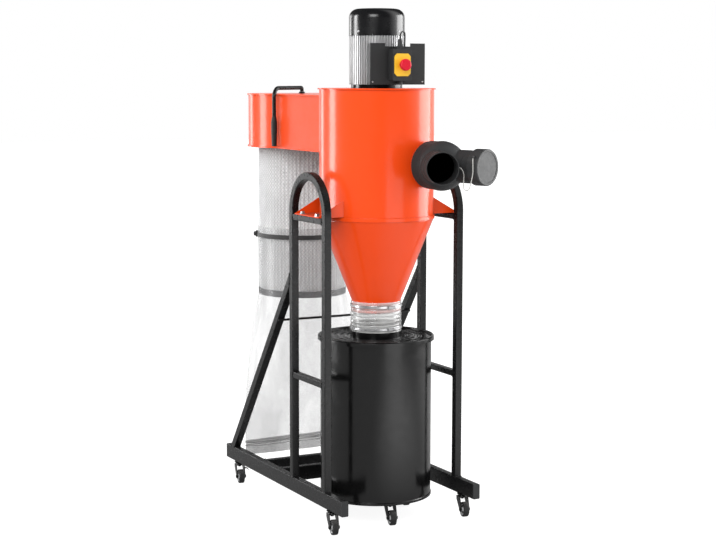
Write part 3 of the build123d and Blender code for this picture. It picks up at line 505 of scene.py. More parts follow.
# Skin: its colour, the scale and amount of its drift, its effect with values, the bump's depth, and its shine
SKINS = {
    "cast_silver": ("motor", 9.0, 0.05, "Drawn Lines", {"Scale": 260.0}, 0.0, {
        "Metallic": 0.75, "Roughness": (0.30, 0.42)}),
    "bright_steel": ("steel", 40.0, 0.10, "Drawn Lines", {"Scale": 700.0, "Stretch": (0.05, 0.05, 1.0)}, 0.00003, {
        "Metallic": 0.9, "Roughness": (0.24, 0.36)}),
    "filter_cloth": ("media", 12.0, 0.05, "Surface Grain", {"Scale": 2200.0, "Waves": 140.0}, 0.0004, {
        "Roughness": 0.85, "Sheen Weight": 0.2}),
    "screen_pale": ("screen", 30.0, 0.08, "Surface Grain", {"Scale": 1500.0, "Waves": 200.0}, 0.00003, {
        "Metallic": 0.3, "Roughness": (0.30, 0.42)}),
    "clear_film": ("film", 8.0, 0.04, "Film Creases", {"Scale": 9.0}, 0.0012, {
        "Alpha": (0.10, 0.24), "Roughness": (0.16, 0.30)}),
    "hem_film": ("hem", 12.0, 0.15, "Film Creases", {"Scale": 20.0}, 0.0005, {
        "Alpha": (0.45, 0.70), "Roughness": (0.25, 0.40)}),
    "clear_hose": ("hose", 14.0, 0.08, "Film Creases", {"Scale": 16.0, "Stretch": (1.0, 1.0, 1.4)}, 0.0006, {
        "Alpha": (0.20, 0.44), "Roughness": (0.10, 0.24), "Coat Weight": 0.5}),
    "woven_strap": ("rubber", 20.0, 0.2, "Plain Weave", {"Threads": 2600.0}, 0.0004, {
        "Roughness": 0.75, "Sheen Weight": 0.3}),
    "pale_cord": ("cord", 50.0, 0.1, "Drawn Lines", {"Scale": 500.0, "Stretch": (0.2, 0.2, 1.0)}, 0.0002, {
        "Roughness": (0.30, 0.45)}),
}

TOUCHES = {
    "orange_gloss": (dull_bounce,),
    "barrel_gloss": (dull_bounce, paint_shade_inside),
    "cast_silver": (cast_grain,),
    "clear_film": (grey_below_hem,),
    "woven_strap": (paint_thread_highlights,),
}


def make_finish(name):
    """Makes a coat or a skin, with its own touches on top."""
    finish = bpy.data.materials.new(name)
    finish.use_nodes = True
    tree = finish.node_tree
    tree.nodes.clear()
    shader = wire(tree, "ShaderNodeBsdfPrincipled")
    wire(tree, "ShaderNodeOutputMaterial", {"Surface": shader.outputs["BSDF"]})
    colours = bpy.context.scene.collector_colours
    lay, table = (lay_coat, COATS) if name in COATS else (lay_skin, SKINS)
    colour, *values, options = table[name]
    skin = lay(tree, shader.inputs, tuple(getattr(colours, colour)), *values, **options)
    for touch in TOUCHES.get(name, ()):
        touch(tree, shader.inputs, skin, colours)
    return finish


def get_finish(name):
    return bpy.data.materials.get(name) or make_finish(name)


def coat_nodes(finish, *nodes):
    """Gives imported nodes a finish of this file."""
    for node in nodes:
        for slot in frame["nodes"][node].material_slots:
            slot.material = get_finish(finish)


# Making of meshes

def new_object(name, data):
    made = bpy.data.objects.new(name, data)
    bpy.context.scene.collection.objects.link(made)
    return made


def seat_piece(piece, finish, body):
    """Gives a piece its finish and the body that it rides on."""
    piece.data.materials.append(get_finish(finish))
    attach(piece, body)
    return piece


def make_piece(name, finish, body, slot, add, *values, smooth_angle=35.0):
    """Fills a mesh by a function and its values, and lets the piece ride on a body."""
    shape = bmesh.new()
    add(shape, *values)
    bmesh.ops.recalc_face_normals(shape, faces=shape.faces)
    mesh = bpy.data.meshes.new(name)
    shape.to_mesh(mesh)
    shape.free()
    mesh.shade_smooth()
    mesh.set_sharp_from_angle(angle=math.radians(smooth_angle))
    return seat_piece(new_object(name, mesh), finish, body)


def upright_at(point, direction, spin=0.0):
    """A matrix whose Z runs along a direction from a point."""
    turn = Vector(direction).to_track_quat("Z", "Y").to_matrix().to_4x4()
    return Matrix.Translation(Vector(point)) @ turn @ Matrix.Rotation(spin, 4, "Z")


def around(axis, radius, angle, height):
    """A point on an upright cylinder about an axis."""
    return Vector((axis.x + radius * math.cos(angle), axis.y + radius * math.sin(angle), height))


def bridge(shape, ring, following):
    """Faces between two closed rings of as many points."""
    for index in range(len(ring)):
        beside = (index + 1) % len(ring)
        shape.faces.new((ring[index], ring[beside], following[beside], following[index]))


def add_lathe(shape, profile, place, steps=64, closed=True):
    """Turns an outline of (radius, height) points about the Z of a matrix, and returns its rings."""
    rings = []
    for step in range(steps):
        angle = math.tau * step / steps
        rings.append([
            shape.verts.new(place @ Vector((radius * math.cos(angle), radius * math.sin(angle), height)))
            for radius, height in profile])
    last = len(profile) if closed else len(profile) - 1
    for ring, following in zip(rings, rings[1:] + rings[:1]):
        for index in range(last):
            after = (index + 1) % len(profile)
            shape.faces.new((ring[index], following[index], following[after], ring[after]))
    return rings


def add_solid_lathe(shape, profile, place, steps=24):
    """A turned solid whose outline starts and ends on its axis; those two points are left out."""
    rings = add_lathe(shape, profile, place, steps, closed=False)
    for index in (0, -1):
        shape.faces.new([ring[index] for ring in rings])


def add_tube(shape, points, radii, sides):
    """A round tube along points, with a radius at each one."""
    rings = []
    side = None
    for index, (point, radius) in enumerate(zip(points, radii)):
        along = (points[min(index + 1, len(points) - 1)] - points[max(index - 1, 0)]).normalized()
        side = side or along.orthogonal()
        side = (side - along * side.dot(along)).normalized()
        other = along.cross(side)
        rings.append([
            shape.verts.new(point + radius * (side * math.cos(angle) + other * math.sin(angle)))
            for angle in (math.tau * turn / sides for turn in range(sides))])
    for ring, following in zip(rings, rings[1:]):
        bridge(shape, ring, following)
    shape.faces.new(rings[0])
    shape.faces.new(rings[-1])


def add_hex_bolt(shape, point, direction, across, spin=0.0):
    """A washer with a hexagon head on it."""
    place = upright_at(point, direction, spin)
    corner = across / math.sqrt(3)
    height = across * 0.62
    add_solid_lathe(
        shape, [(across * 0.78, 0.0), (across * 0.78, across * 0.1), (across * 0.7, across * 0.13)], place)
    add_solid_lathe(
        shape, [(corner, across * 0.13), (corner, height), (corner * 0.86, height + across * 0.06)], place, steps=6)


def add_screw(shape, point, direction, diameter, spin=0.0):
    """A pan head with a cross recess."""
    place = upright_at(point, direction, spin)
    radius = diameter / 2
    dome = [(radius * math.cos(angle), radius * 0.62 * math.sin(angle))
            for angle in (math.radians(degrees) for degrees in (0, 20, 40, 58, 72))]
    add_solid_lathe(shape, dome, place, steps=20)
    for quarter in (0.0, math.pi / 2):
        slot = place @ Matrix.Rotation(quarter, 4, "Z") @ Matrix.Translation((0, 0, radius * 0.60))
        cross = Matrix.Diagonal((radius * 1.1, radius * 0.2, radius * 0.08, 1.0))
        bmesh.ops.create_cube(shape, size=1.0, matrix=slot @ cross)


def add_weld(shape, start, end, width, chance):
    """A straight weld bead, with one scallop for each drop of metal."""
    count = max(int((end - start).length / (width * 0.7 / 4)), 4)
    radii = [width / 2 * (0.82 + 0.22 * abs(math.sin(math.pi * index / 4)) + chance.uniform(-0.05, 0.05))
             for index in range(count + 1)]
    add_tube(shape, [start.lerp(end, index / count) for index in range(count + 1)], radii, sides=7)


def nurbs_cord(name, points, diameter, finish, body):
    """A smooth cord whose control points are the route's points."""
    curve = bpy.data.curves.new(name, "CURVE")
    curve.dimensions = "3D"
    curve.bevel_depth = diameter / 2
    curve.bevel_resolution = 4
    curve.resolution_u = 8
    curve.use_fill_caps = True
    spline = curve.splines.new("NURBS")
    spline.points.add(len(points) - 1)
    for target, point in zip(spline.points, points):
        target.co = (*point, 1.0)
    spline.order_u = 3
    spline.use_endpoint_u = True
    return seat_piece(new_object(name, curve), finish, body)


class PieceOperator(bpy.types.Operator):
    """Shared by the operators that make pieces: they can be undone."""
    bl_options = {"REGISTER", "UNDO"}


# Frame

def add_frame_welds(shape, width, chance):
    """Weld beads where the tubes of the frame meet."""
    def weld_round(x, y, z, across, upward, half_up=HALF_TUBE):
        """Beads round a tube's end, which reaches half_up to each side of its middle."""
        centre = Vector((x, y, z))
        across = across * HALF_TUBE
        upward = upward * half_up
        corners = [centre - across - upward, centre + across - upward, centre + across + upward,
                   centre - across + upward]
        for corner, following in zip(corners, corners[1:] + corners[:1]):
            add_weld(shape, corner, following, width, chance)

    for x in TUBES_X:
        for y in (leg_low.y + HALF_TUBE, leg_high.y - HALF_TUBE):
            weld_round(x, y, rail_high.z, X, Y)
        for bars in ("saddle_bars", "rung_bars"):
            low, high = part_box(bars)
            for y in (low.y, high.y):
                weld_round(x, y, (low.z + high.z) / 2, X, Z, (high.z - low.z) / 2)
        low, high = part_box("rear_braces")
        slope = (high.z - low.z) / (high.y - low.y)
        at_leg = HALF_TUBE * math.hypot(1, slope)
        at_rail = HALF_TUBE * math.hypot(1, 1 / slope)
        weld_round(x, low.y, high.z - at_leg, X, Z, at_leg)
        weld_round(x, high.y - at_rail, rail_high.z, X, Y, at_rail)
    low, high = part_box("base_cross_tubes")
    for x in (low.x, high.x):
        for y in (low.y + HALF_TUBE, high.y - HALF_TUBE):
            weld_round(x, y, (low.z + high.z) / 2, Y, Z, (high.z - low.z) / 2)


class COLLECTOR_OT_frame(PieceOperator):
    """Coat the tube frame and run weld beads round its joints"""
    bl_idname = "collector.build_frame"
    bl_label = "Frame"

    def execute(self, context):
        coat_nodes("powder_black", "base_rails", "base_cross_tubes", "arch_left", "arch_right",
                   "saddle_bars", "rung_bars", "rear_braces", "brace_rod")
        coat_nodes("moulded_black", "rail_end_caps")
        make_piece("frame_welds", "powder_black", "root", "frame_black", add_frame_welds,
                   context.scene.collector_fasteners.weld, random.Random(11), smooth_angle=60.0)
        return {"FINISHED"}


# Cyclone

def add_bracket_bolts(shape, size):
    foot_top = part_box("saddle_bars")[1].z + BRACKET_FOOT
    for x in TUBES_X:
        for y in (cyclone.y - BOLT_REACH, cyclone.y + BOLT_REACH):
            add_hex_bolt(shape, (x, y, foot_top), Z, size, spin=y)


class COLLECTOR_OT_cyclone(PieceOperator):
    """Paint the barrel, cone and brackets, and bolt the brackets to the saddle bars"""
    bl_idname = "collector.build_cyclone"
    bl_label = "Cyclone"

    def execute(self, context):
        coat_nodes("orange_gloss", "cyclone_band", "cyclone_cone", "cyclone_top_plate", "hanger_brackets")
        coat_nodes("barrel_gloss", "cyclone_barrel")
        make_piece("bracket_bolts", "bright_steel", "root", "clamp_steel", add_bracket_bolts,
                   context.scene.collector_fasteners.bolt, smooth_angle=30.0)
        return {"FINISHED"}


# Inlet fitting

TETHER_POINTS = (
    (0.1030, -0.5295, 1.1860), (0.1030, -0.5410, 1.1860), (0.1065, -0.5495, 1.1790), (0.1092, -0.5546, 1.1640),
    (0.1066, -0.5554, 1.1450), (0.1064, -0.5564, 1.1224), (0.1082, -0.5601, 1.1166), (0.1110, -0.5661, 1.1144),
    (0.1138, -0.5721, 1.1166), (0.1166, -0.5766, 1.1224), (0.1192, -0.5816, 1.1450), (0.1220, -0.5864, 1.1680),
    (0.1232, -0.5848, 1.1880), (0.1243, -0.5814, 1.2050), (0.1243, -0.5814, 1.2180),
)
TETHER_DIAMETER = 0.003


class COLLECTOR_OT_inlet(PieceOperator):
    """Finish the twin-branch inlet and hang the cap's tether"""
    bl_idname = "collector.build_inlet"
    bl_label = "Inlet"

    def execute(self, context):
        coat_nodes("moulded_black", "inlet_wye")
        coat_nodes("cap_charcoal", "inlet_cap")
        tether = nurbs_cord("inlet_tether", TETHER_POINTS, TETHER_DIAMETER, "pale_cord", "root")
        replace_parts(tether, "cap_tether")
        return {"FINISHED"}


# Motor

def add_cowl_screws(shape, size):
    """Four screws a little above the cowl's lower edge."""
    low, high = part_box("motor_cowl")
    for angle in map(math.radians, (202.0, 292.0, 22.0, 112.0)):
        point = around(cyclone, (high.x - low.x) / 2 - 0.4 * MM, angle, low.z + 14 * MM)
        add_screw(shape, point, (math.cos(angle), math.sin(angle), 0.0), size, spin=0.4)


class COLLECTOR_OT_motor(PieceOperator):
    """Finish the motor, its cowl and its terminal box, with their screws"""
    bl_idname = "collector.build_motor"
    bl_label = "Motor"

    def execute(self, context):
        coat_nodes("drum_gloss", "motor_flange")
        coat_nodes("cast_silver", "motor_body")
        coat_nodes("cowl_gloss", "motor_cowl")
        coat_nodes("moulded_black", "terminal_box")
        make_piece("cowl_screws", "bright_steel", "root", "clamp_steel", add_cowl_screws,
                   context.scene.collector_fasteners.screw)
        return {"FINISHED"}


# Switch panel

LEAD_DIAMETER = 0.005
gland_low, gland_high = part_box("switch_glands")
gland = (gland_low + gland_high) / 2
LEAD_POINTS = tuple((gland.x + right, gland.y + back, height) for right, back, height in (
    (0.0, 0.0, 1.590), (0.0, 0.0, 1.600), (0.005, 0.002, 1.610), (0.016, 0.009, 1.615),
    (0.028, 0.019, 1.609), (0.033, 0.028, 1.594), (0.034, 0.031, 1.577), (0.034, 0.031, 1.560)))


def add_panel_screws(shape, size):
    """Two screws at the lower corners of the panel."""
    low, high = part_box("switch_panel")
    inset = 9 * MM
    for x in (low.x + inset, high.x - inset):
        add_screw(shape, (x, low.y, low.z + inset), -Y, size, spin=x * 9)


class COLLECTOR_OT_switch(PieceOperator):
    """Finish the panel, the switch and its lead"""
    bl_idname = "collector.build_switch"
    bl_label = "Switch"

    def execute(self, context):
        coat_nodes("charcoal_sheet", "switch_panel")
        coat_nodes("moulded_black", "switch_box", "switch_glands")
        coat_nodes("signal_yellow", "switch_plate")
        coat_nodes("signal_red", "stop_button")
        lead = nurbs_cord("switch_cord", LEAD_POINTS, LEAD_DIAMETER, "soft_rubber", "root")
        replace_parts(lead, "switch_lead")
        make_piece("panel_screws", "bright_steel", "root", "clamp_steel", add_panel_screws,
                   context.scene.collector_fasteners.screw * 0.7)
        return {"FINISHED"}


# Filter

def add_pleats(shape, sizes, chance):
    """A zigzag cloth wall that runs right round, a little uneven as folded cloth is."""
    outer = canister_radius - 1.6 * MM
    inner = outer - sizes.pleat_depth
    bands = 10
    columns = []
    for pleat in range(sizes.pleats):
        for share, radius in ((0.0, outer), (0.22, outer), (0.5, inner), (0.72, inner)):
            drift = chance.uniform(-0.10, 0.10)
            column = []
            for rise in (band / bands for band in range(bands + 1)):
                sway = 0.12 * math.sin(5 * rise + pleat) + drift
                angle = math.tau * (pleat + share + sway * 0.5) / sizes.pleats
                height = canister_low.z + canister_tall * rise
                column.append(shape.verts.new(around(filter_axis, radius, angle, height)))
            columns.append(column)
    for column, following in zip(columns, columns[1:] + columns[:1]):
        for band in range(bands):
            shape.faces.new((column[band], following[band], following[band + 1], column[band + 1]))


def add_diamond_screen(shape, sizes):
    """Expanded mesh: strands that cross in diamonds on a cylinder."""
    radius = canister_radius + 0.2 * MM
    across = math.tau / sizes.diamonds
    rows = int(canister_tall / (across * radius * 1.05))
    tall = canister_tall / rows
    half = sizes.strand / 2

    def knot(column, row):
        return around(filter_axis, radius, across * column / 2, canister_low.z + tall * row / 2)

    for row in range(rows * 2):
        for column in range(row % 2, sizes.diamonds * 2, 2):
            for step in (-1, 1):
                start = knot(column, row)
                end = knot(column + step, row + 1)
                lift = Vector((start.x - filter_axis.x, start.y - filter_axis.y, 0)).normalized() * half
                side = (end - start).normalized().cross(lift)
                first, last = (
                    [shape.verts.new(point + offset) for offset in (side, lift, -side)] for point in (start, end))
                for index in range(2):
                    shape.faces.new((first[index], first[index + 1], last[index + 1], last[index]))


class COLLECTOR_OT_filter(PieceOperator):
    """Paint the filter head, fold the pleats and wrap the mesh round them"""
    bl_idname = "collector.build_filter"
    bl_label = "Filter"

    def execute(self, context):
        sizes = context.scene.collector_filter
        coat_nodes("orange_gloss", "filter_head")
        coat_nodes("moulded_black", "canister_base_ring")
        pleats = make_piece("pleated_media", "filter_cloth", "root", "filter_media", add_pleats, sizes,
                            random.Random(5), smooth_angle=50.0)
        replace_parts(pleats, "filter_canister")
        make_piece("filter_screen", "screen_pale", "root", "filter_media", add_diamond_screen, sizes)
        return {"FINISHED"}


# Dust bag

def clamped(value):
    return min(max(value, 0.0), 1.0)


def bag_section(height, sizes):
    """Half width and half depth of the hanging bag at a height."""
    neck = ring_radius + sizes.slack
    hem = bag_low.z + sizes.hem_rise
    share = clamped((ring_low.z - height) / (ring_low.z - hem))
    depth = sizes.hem_depth + (neck - sizes.hem_depth) * math.cos(math.pi / 2 * share) ** 0.9
    width = neck + ((bag_high.x - bag_low.x) / 2 - 3 * MM - neck) * math.sin(math.pi / 2 * share)
    return width, depth


def bag_fold(angle, height, sizes):
    """How far the film stands off its smooth shape: tucks at the strap, long folds lower down."""
    across = Vector((math.cos(angle), math.sin(angle), 0))
    if height > ring_low.z:
        off_strap = abs(height - (strap_low.z + strap_high.z) / 2)
        near = math.exp(-(off_strap / 0.030) ** 2)
        tucks = 0.5 + 0.5 * math.sin(sizes.gathers * angle + 3 * noise.noise(across * 2.5))
        loose = noise.noise(across * 4 + Vector((0, 0, height * 9)))
        return sizes.tuck * (tucks * near * min(off_strap / 0.012, 1.0) + 0.5 + 0.5 * loose * (1 - near))
    fallen = min((ring_low.z - height) / 0.12, 1.0)
    long_folds = noise.noise(across * 2.6 + Vector((0, 0, height * 1.6)))
    slanting = noise.noise(across * 5.5 + Vector((height * 4, -height * 3, height * 5)))
    sharp = 1 - abs(noise.noise(across * 3.4 + Vector((7, 3, height * 3.0)))) * 2.4
    return sizes.tuck * 0.5 + fallen * sizes.fold * (long_folds + 0.45 * slanting + 0.5 * max(sharp, 0.0) ** 3)


def bag_corner(angle, height, sizes, flat):
    """Where a direction leads on a section that is a circle when flat is 1, and how far its edge sags."""
    power = 1 / (1.5 - 0.5 * flat)
    x, y = (math.copysign(abs(part) ** power, part) for part in (math.cos(angle), math.sin(angle)))
    width, depth = bag_section(height, sizes)
    return x, y, width, depth, sizes.sag * (1 - flat) * noise.noise(Vector((x * 2.0, 4.0, 0.0)))


def add_bag(shape, sizes):
    """The film as one skin, open at its top and closed along its hem."""
    steps = 180
    rows = 110
    rings = []
    for row in range(rows + 1):
        height = bag_high.z - row / rows * (bag_high.z - bag_low.z)
        flat = clamped((height - bag_low.z - sizes.hem_rise) / 0.10)
        ring = []
        for step in range(steps):
            angle = math.tau * step / steps
            fold = bag_fold(angle, height, sizes) * (0.25 + 0.75 * flat)
            x, y, width, depth, sag = bag_corner(angle, height, sizes, flat)
            ring.append(shape.verts.new((
                filter_axis.x + x * width + fold * math.cos(angle) * flat,
                filter_axis.y + y * depth + fold * math.sin(angle),
                max(height + sag, bag_low.z))))
        rings.append(ring)
    for ring, following in zip(rings, rings[1:]):
        bridge(shape, ring, following)
    last = rings[-1]
    middle = steps // 2
    shape.faces.new((last[0], last[1], last[-1]))
    for step in range(1, middle - 1):
        shape.faces.new((last[step], last[step + 1], last[-step - 1], last[-step]))
    shape.faces.new(last[middle - 1:middle + 2])


def add_hem_bands(shape, sizes):
    """Two welded bands round the flattened end of the bag."""
    steps = 120
    lift = 1.4 * MM
    for drop, tall in ((0.0, 8 * MM), (14 * MM, 3 * MM)):
        middle = bag_low.z + sizes.hem_rise - drop
        bottoms = []
        tops = []
        for step in range(steps):
            x, y, width, depth, sag = bag_corner(math.tau * step / steps, middle, sizes, flat=0.0)
            across = filter_axis.x + x * (width + lift)
            along = filter_axis.y + y * (depth + sizes.fold * 0.25 + lift)
            bottoms.append(shape.verts.new((across, along, middle + sag - tall / 2)))
            tops.append(shape.verts.new((across, along, middle + sag + tall / 2)))
        bridge(shape, bottoms, tops)


def make_film(name, finish, add, sizes):
    """A piece of the bag, with the thickness of its film."""
    piece = make_piece(name, finish, "root", "bag_film", add, sizes, smooth_angle=80.0)
    skin = piece.modifiers.new("film", "SOLIDIFY")
    skin.thickness = sizes.sheet
    skin.offset = 1.0
    return piece


class COLLECTOR_OT_bag(PieceOperator):
    """Hang the plastic bag and tie it with its strap"""
    bl_idname = "collector.build_bag"
    bl_label = "Dust bag"

    def execute(self, context):
        sizes = context.scene.collector_bag
        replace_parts(make_film("film_bag", "clear_film", add_bag, sizes), "dust_bag")
        make_film("bag_hem", "hem_film", add_hem_bands, sizes)
        coat_nodes("woven_strap", "bag_strap")
        return {"FINISHED"}


# Crank

class COLLECTOR_OT_crank(PieceOperator):
    """Finish the cleaning crank and its grip"""
    bl_idname = "collector.build_crank"
    bl_label = "Crank"

    def execute(self, context):
        coat_nodes("powder_black", "crank_boss", "crank_arm")
        coat_nodes("soft_rubber", "crank_grip")
        return {"FINISHED"}


# Drum and sleeve

def add_ribbed_sleeve(shape, sizes, radius):
    """Clear film that is drawn in between the turns of a wire."""
    steps = 96
    rows = sizes.ribs * 8
    thickness = 0.8 * MM
    outside = []
    inside = []
    for share in (row / rows for row in range(rows + 1)):
        height = sleeve_low.z + (sleeve_high.z - sleeve_low.z) * share
        outside.append([])
        inside.append([])
        for step in range(steps):
            angle = math.tau * step / steps
            swell = 0.5 + 0.5 * math.cos(math.tau * (share * sizes.ribs - step / steps))
            flute = noise.noise(Vector((3 * math.cos(angle), 3 * math.sin(angle), 20 * share))) * 0.6 * MM
            reach = radius - sizes.rib_depth * (1 - swell) + flute
            outside[-1].append(shape.verts.new(around(cyclone, reach, angle, height)))
            inside[-1].append(shape.verts.new(around(cyclone, reach - thickness, angle, height)))
    for wall in (outside, inside):
        for ring, following in zip(wall, wall[1:]):
            bridge(shape, ring, following)
    for end in (0, -1):
        bridge(shape, outside[end], inside[end])


def add_sleeve_wire(shape, sizes, radius):
    """The wire that winds up the sleeve, from the middle of its first rib to the middle of its last."""
    facets = 64
    points = []
    for step in range((sizes.ribs - 1) * facets + 1):
        share = (step / facets + 0.5) / sizes.ribs
        height = sleeve_low.z + (sleeve_high.z - sleeve_low.z) * share
        points.append(around(cyclone, radius - 0.3 * MM, math.tau * step / facets, height))
    add_tube(shape, points, [sizes.wire / 2] * len(points), sides=6)


def add_lid_ridges(shape, sizes):
    """Rings pressed into the lid, each a low rounded ridge."""
    half = sizes.ridge_width / 2
    for radius in (104 * MM, 126 * MM, 148 * MM, 170 * MM):
        ridge = [(radius - half, -0.2 * MM), (radius + half, -0.2 * MM)]
        ridge += [(radius + half * math.cos(angle), sizes.ridge_rise * math.sin(angle))
                  for angle in map(math.radians, (12, 35, 60, 90, 120, 145, 168))]
        add_lathe(shape, ridge, Matrix.Translation((cyclone.x, cyclone.y, LID_TOP)), steps=128)


class COLLECTOR_OT_drum(PieceOperator):
    """Paint the drum and its lid, and fit the ribbed sleeve between lid and cone"""
    bl_idname = "collector.build_drum"
    bl_label = "Drum and sleeve"

    def execute(self, context):
        coat_nodes("drum_gloss", "drum_shell", "drum_base", "drum_lid")
        coat_nodes("bright_steel", "sleeve_clamps")
        sizes = context.scene.collector_sleeve
        radius = (sleeve_high.x - sleeve_low.x) / 2
        sleeve = make_piece("ribbed_sleeve", "clear_hose", "root", "sleeve_film", add_ribbed_sleeve, sizes, radius,
                            smooth_angle=60.0)
        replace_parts(sleeve, "drum_sleeve")
        make_piece("sleeve_wire", "bright_steel", "root", "clamp_steel", add_sleeve_wire, sizes, radius)
        make_piece("lid_ridges", "drum_gloss", "root", "drum_black", add_lid_ridges, sizes)
        return {"FINISHED"}


# Casters

def add_wheel_ring(shape, place, steps, *outline):
    """A ring turned from an outline of radii and depths below the wheel's near face, mirrored on its far side."""
    near = [(radius, depth - WHEEL_HALF) for radius, depth in outline]
    add_lathe(shape, near + [(radius, -height) for radius, height in reversed(near)], place, steps)


def add_tyre(shape, place, radius):
    """A round-shouldered tread, with the dark disc inside it."""
    add_wheel_ring(
        shape, place, 48, (WHEEL_RIM, 1 * MM), (WHEEL_RIM + 1 * MM, 0.0), (radius - 3 * MM, 0.0),
        (radius - 1.2 * MM, 0.8 * MM), (radius - 0.2 * MM, 2.2 * MM), (radius, 3.6 * MM))
    add_wheel_ring(shape, place, 48, (WHEEL_BOSS - 0.4 * MM, 4.5 * MM), (WHEEL_RIM - 1 * MM, 4.5 * MM))


def add_hub(shape, place):
    """The bright ring inside the tread, and the boss round the axle."""
    add_wheel_ring(
        shape, place, 48, (WHEEL_RIM - 2.2 * MM, 2.4 * MM), (WHEEL_RIM - 1.6 * MM, 0.8 * MM),
        (WHEEL_RIM - 0.1 * MM, 0.6 * MM))
    add_wheel_ring(
        shape, place, 32, (AXLE_RADIUS, 0.3 * MM), (WHEEL_BOSS - 1 * MM, 0.3 * MM), (WHEEL_BOSS, 1.3 * MM))


PEDAL_SECTION = (
    (-0.3, 52.0), (6.0, 52.5), (13.0, 50.0), (16.0, 44.5), (14.2, 43.8), (11.8, 48.0), (5.8, 50.3), (-0.3, 49.8))


def add_pedal(shape, pivot, trail):
    """A brake tab that stands out from the side of a fork, bent down at its free edge."""
    along = Vector((trail.x, trail.y, 0)).normalized()
    outward = Vector((-along.y, along.x, 0))
    if outward.x * pivot.x > 0:
        outward.negate()
    start = pivot + along * 6 * MM + outward * FORK_HALF
    ends = [[
        shape.verts.new(Vector((start.x, start.y, height * MM)) + along * reach + outward * out * MM)
        for out, height in PEDAL_SECTION] for reach in (-8 * MM, 8 * MM)]
    bridge(shape, *ends)
    for end in ends:
        shape.faces.new(end)


class COLLECTOR_OT_casters(PieceOperator):
    """Finish the casters, with tyres, hubs, king nuts and the brakes of the rear pair"""
    bl_idname = "collector.build_casters"
    bl_label = "Casters"

    def execute(self, context):
        coat_nodes("black_zinc", "caster_mounts")
        joints = {joint["child"]: joint for joint in frame["joints"]}
        for name in CASTERS:
            wheel = "wheel_" + name
            fork = "fork_" + name
            coat_nodes("black_zinc", "caster_" + fork)
            axle = joints[wheel]
            pivot = Vector(joints[fork]["pos_m"])
            low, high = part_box("caster_" + wheel)
            place = upright_at(axle["pos_m"], axle["axis"])
            radius = (high.z - low.z) / 2
            tyre = make_piece("tyre_" + name, "soft_rubber", wheel, "wheel_tyre", add_tyre, place, radius)
            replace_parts(tyre, "caster_" + wheel)
            make_piece("hub_" + name, "hub_grey", wheel, "wheel_tyre", add_hub, place)
            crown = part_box("caster_" + fork)[1].z - CROWN_DEPTH
            make_piece("king_nut_" + name, "black_zinc", fork, "caster_steel", add_hex_bolt,
                       (pivot.x, pivot.y, crown), -Z, 10 * MM, smooth_angle=30.0)
            if name.startswith("rear"):
                make_piece("brake_" + name, "black_zinc", fork, "caster_steel", add_pedal, pivot,
                           Vector(axle["pos_m"]) - pivot, smooth_angle=50.0)
        return {"FINISHED"}


# Studio

# Lamp: its width and height, its energy, where it stands, what it faces, and whether it gives highlights alone
LAMPS = {
    "lamp_front": (2.4, 1.0, 14.0, (0.55, -4.0, 0.5), (0.0, 0.0, 0.5), False),
    "lamp_key": (2.4, 2.4, 105.0, (-3.2, -3.6, 3.6), (0.0, 0.0, 0.9), False),
    "lamp_left_rear": (0.9, 2.6, 84.0, (-2.65, 1.62, 1.5), (0.0, 0.0, 1.45), True),
    "lamp_rear": (0.7, 2.4, 24.0, (-1.10, 3.68, 1.5), (0.0, 0.0, 1.4), True),
    "lamp_right": (2.2, 2.4, 98.0, (3.0, -0.5, 1.5), (0.0, -0.2, 1.3), False),
}
WHITE = (1.0, 1.0, 1.0, 1.0)
BACK = (0.46, 0.89, 0.0)
LEFT = (-0.89, 0.46, 0.0)
RIGHT = (0.956, 0.29, 0.0)
POOL = (0.60, -2.10, 0.0)


def add_lamp(name, width, height, energy, place, target, shine_only):
    """A soft box that faces a point."""
    data = bpy.data.lights.new(name, "AREA")
    data.shape = "RECTANGLE"
    data.size = width
    data.size_y = height
    data.energy = energy
    lamp = new_object(name, data)
    lamp.location = place
    lamp.visible_camera = False
    lamp.visible_diffuse = not shine_only
    lamp.rotation_mode = "QUATERNION"
    lamp.rotation_quaternion = (Vector(target) - Vector(place)).to_track_quat("-Z", "Y")


def eye_and_gloss(tree):
    """1 where the eye sees the stage, also through glass, and 1 where a highlight does."""
    path = wire(tree, "ShaderNodeLightPath").outputs
    return reckon(tree, "MAXIMUM", path["Is Camera Ray"], path["Is Transmission Ray"]), path["Is Glossy Ray"]


def light_world(front, left, right, backdrop, dim):
    """White to the eye, a fill that is stronger from the sides as light, and in gloss a white strip in a dim room."""
    world = bpy.data.worlds.new("studio_world")
    bpy.context.scene.world = world
    world.use_nodes = True
    tree = world.node_tree
    tree.nodes.clear()
    way = wire(tree, "ShaderNodeTexCoord").outputs["Generated"]
    back, leftward, rightward = (reckon_vector(tree, "DOT_PRODUCT", way, side) for side in (BACK, LEFT, RIGHT))
    rise = reckon(tree, "ABSOLUTE", part_of(tree, way, "Z"))
    strip = product(tree, mask(tree, back, 0.62, 0.88), mask(tree, rise, 0.25, 0.10))
    wall = product(tree, spread(tree, rightward, 0.15, 0.85, 0.0, 2.2), mask(tree, back, 0.5, 0.1))
    room = total(tree, spread(tree, strip, 0.0, 1.0, dim, backdrop), wall)
    from_left = product(tree, reckon(tree, "MAXIMUM", leftward, 0.0), left)
    from_right = product(tree, reckon(tree, "MINIMUM", leftward, 0.0), -right)
    fill = total(tree, total(tree, from_left, from_right), front)
    eye, gloss = eye_and_gloss(tree)
    level = spread(tree, eye, 0.0, 1.0, spread(tree, gloss, 0.0, 1.0, fill, room), 1.0)
    sky = wire(tree, "ShaderNodeBackground", {"Color": WHITE, "Strength": level})
    wire(tree, "ShaderNodeOutputWorld", {"Surface": sky.outputs[0]})


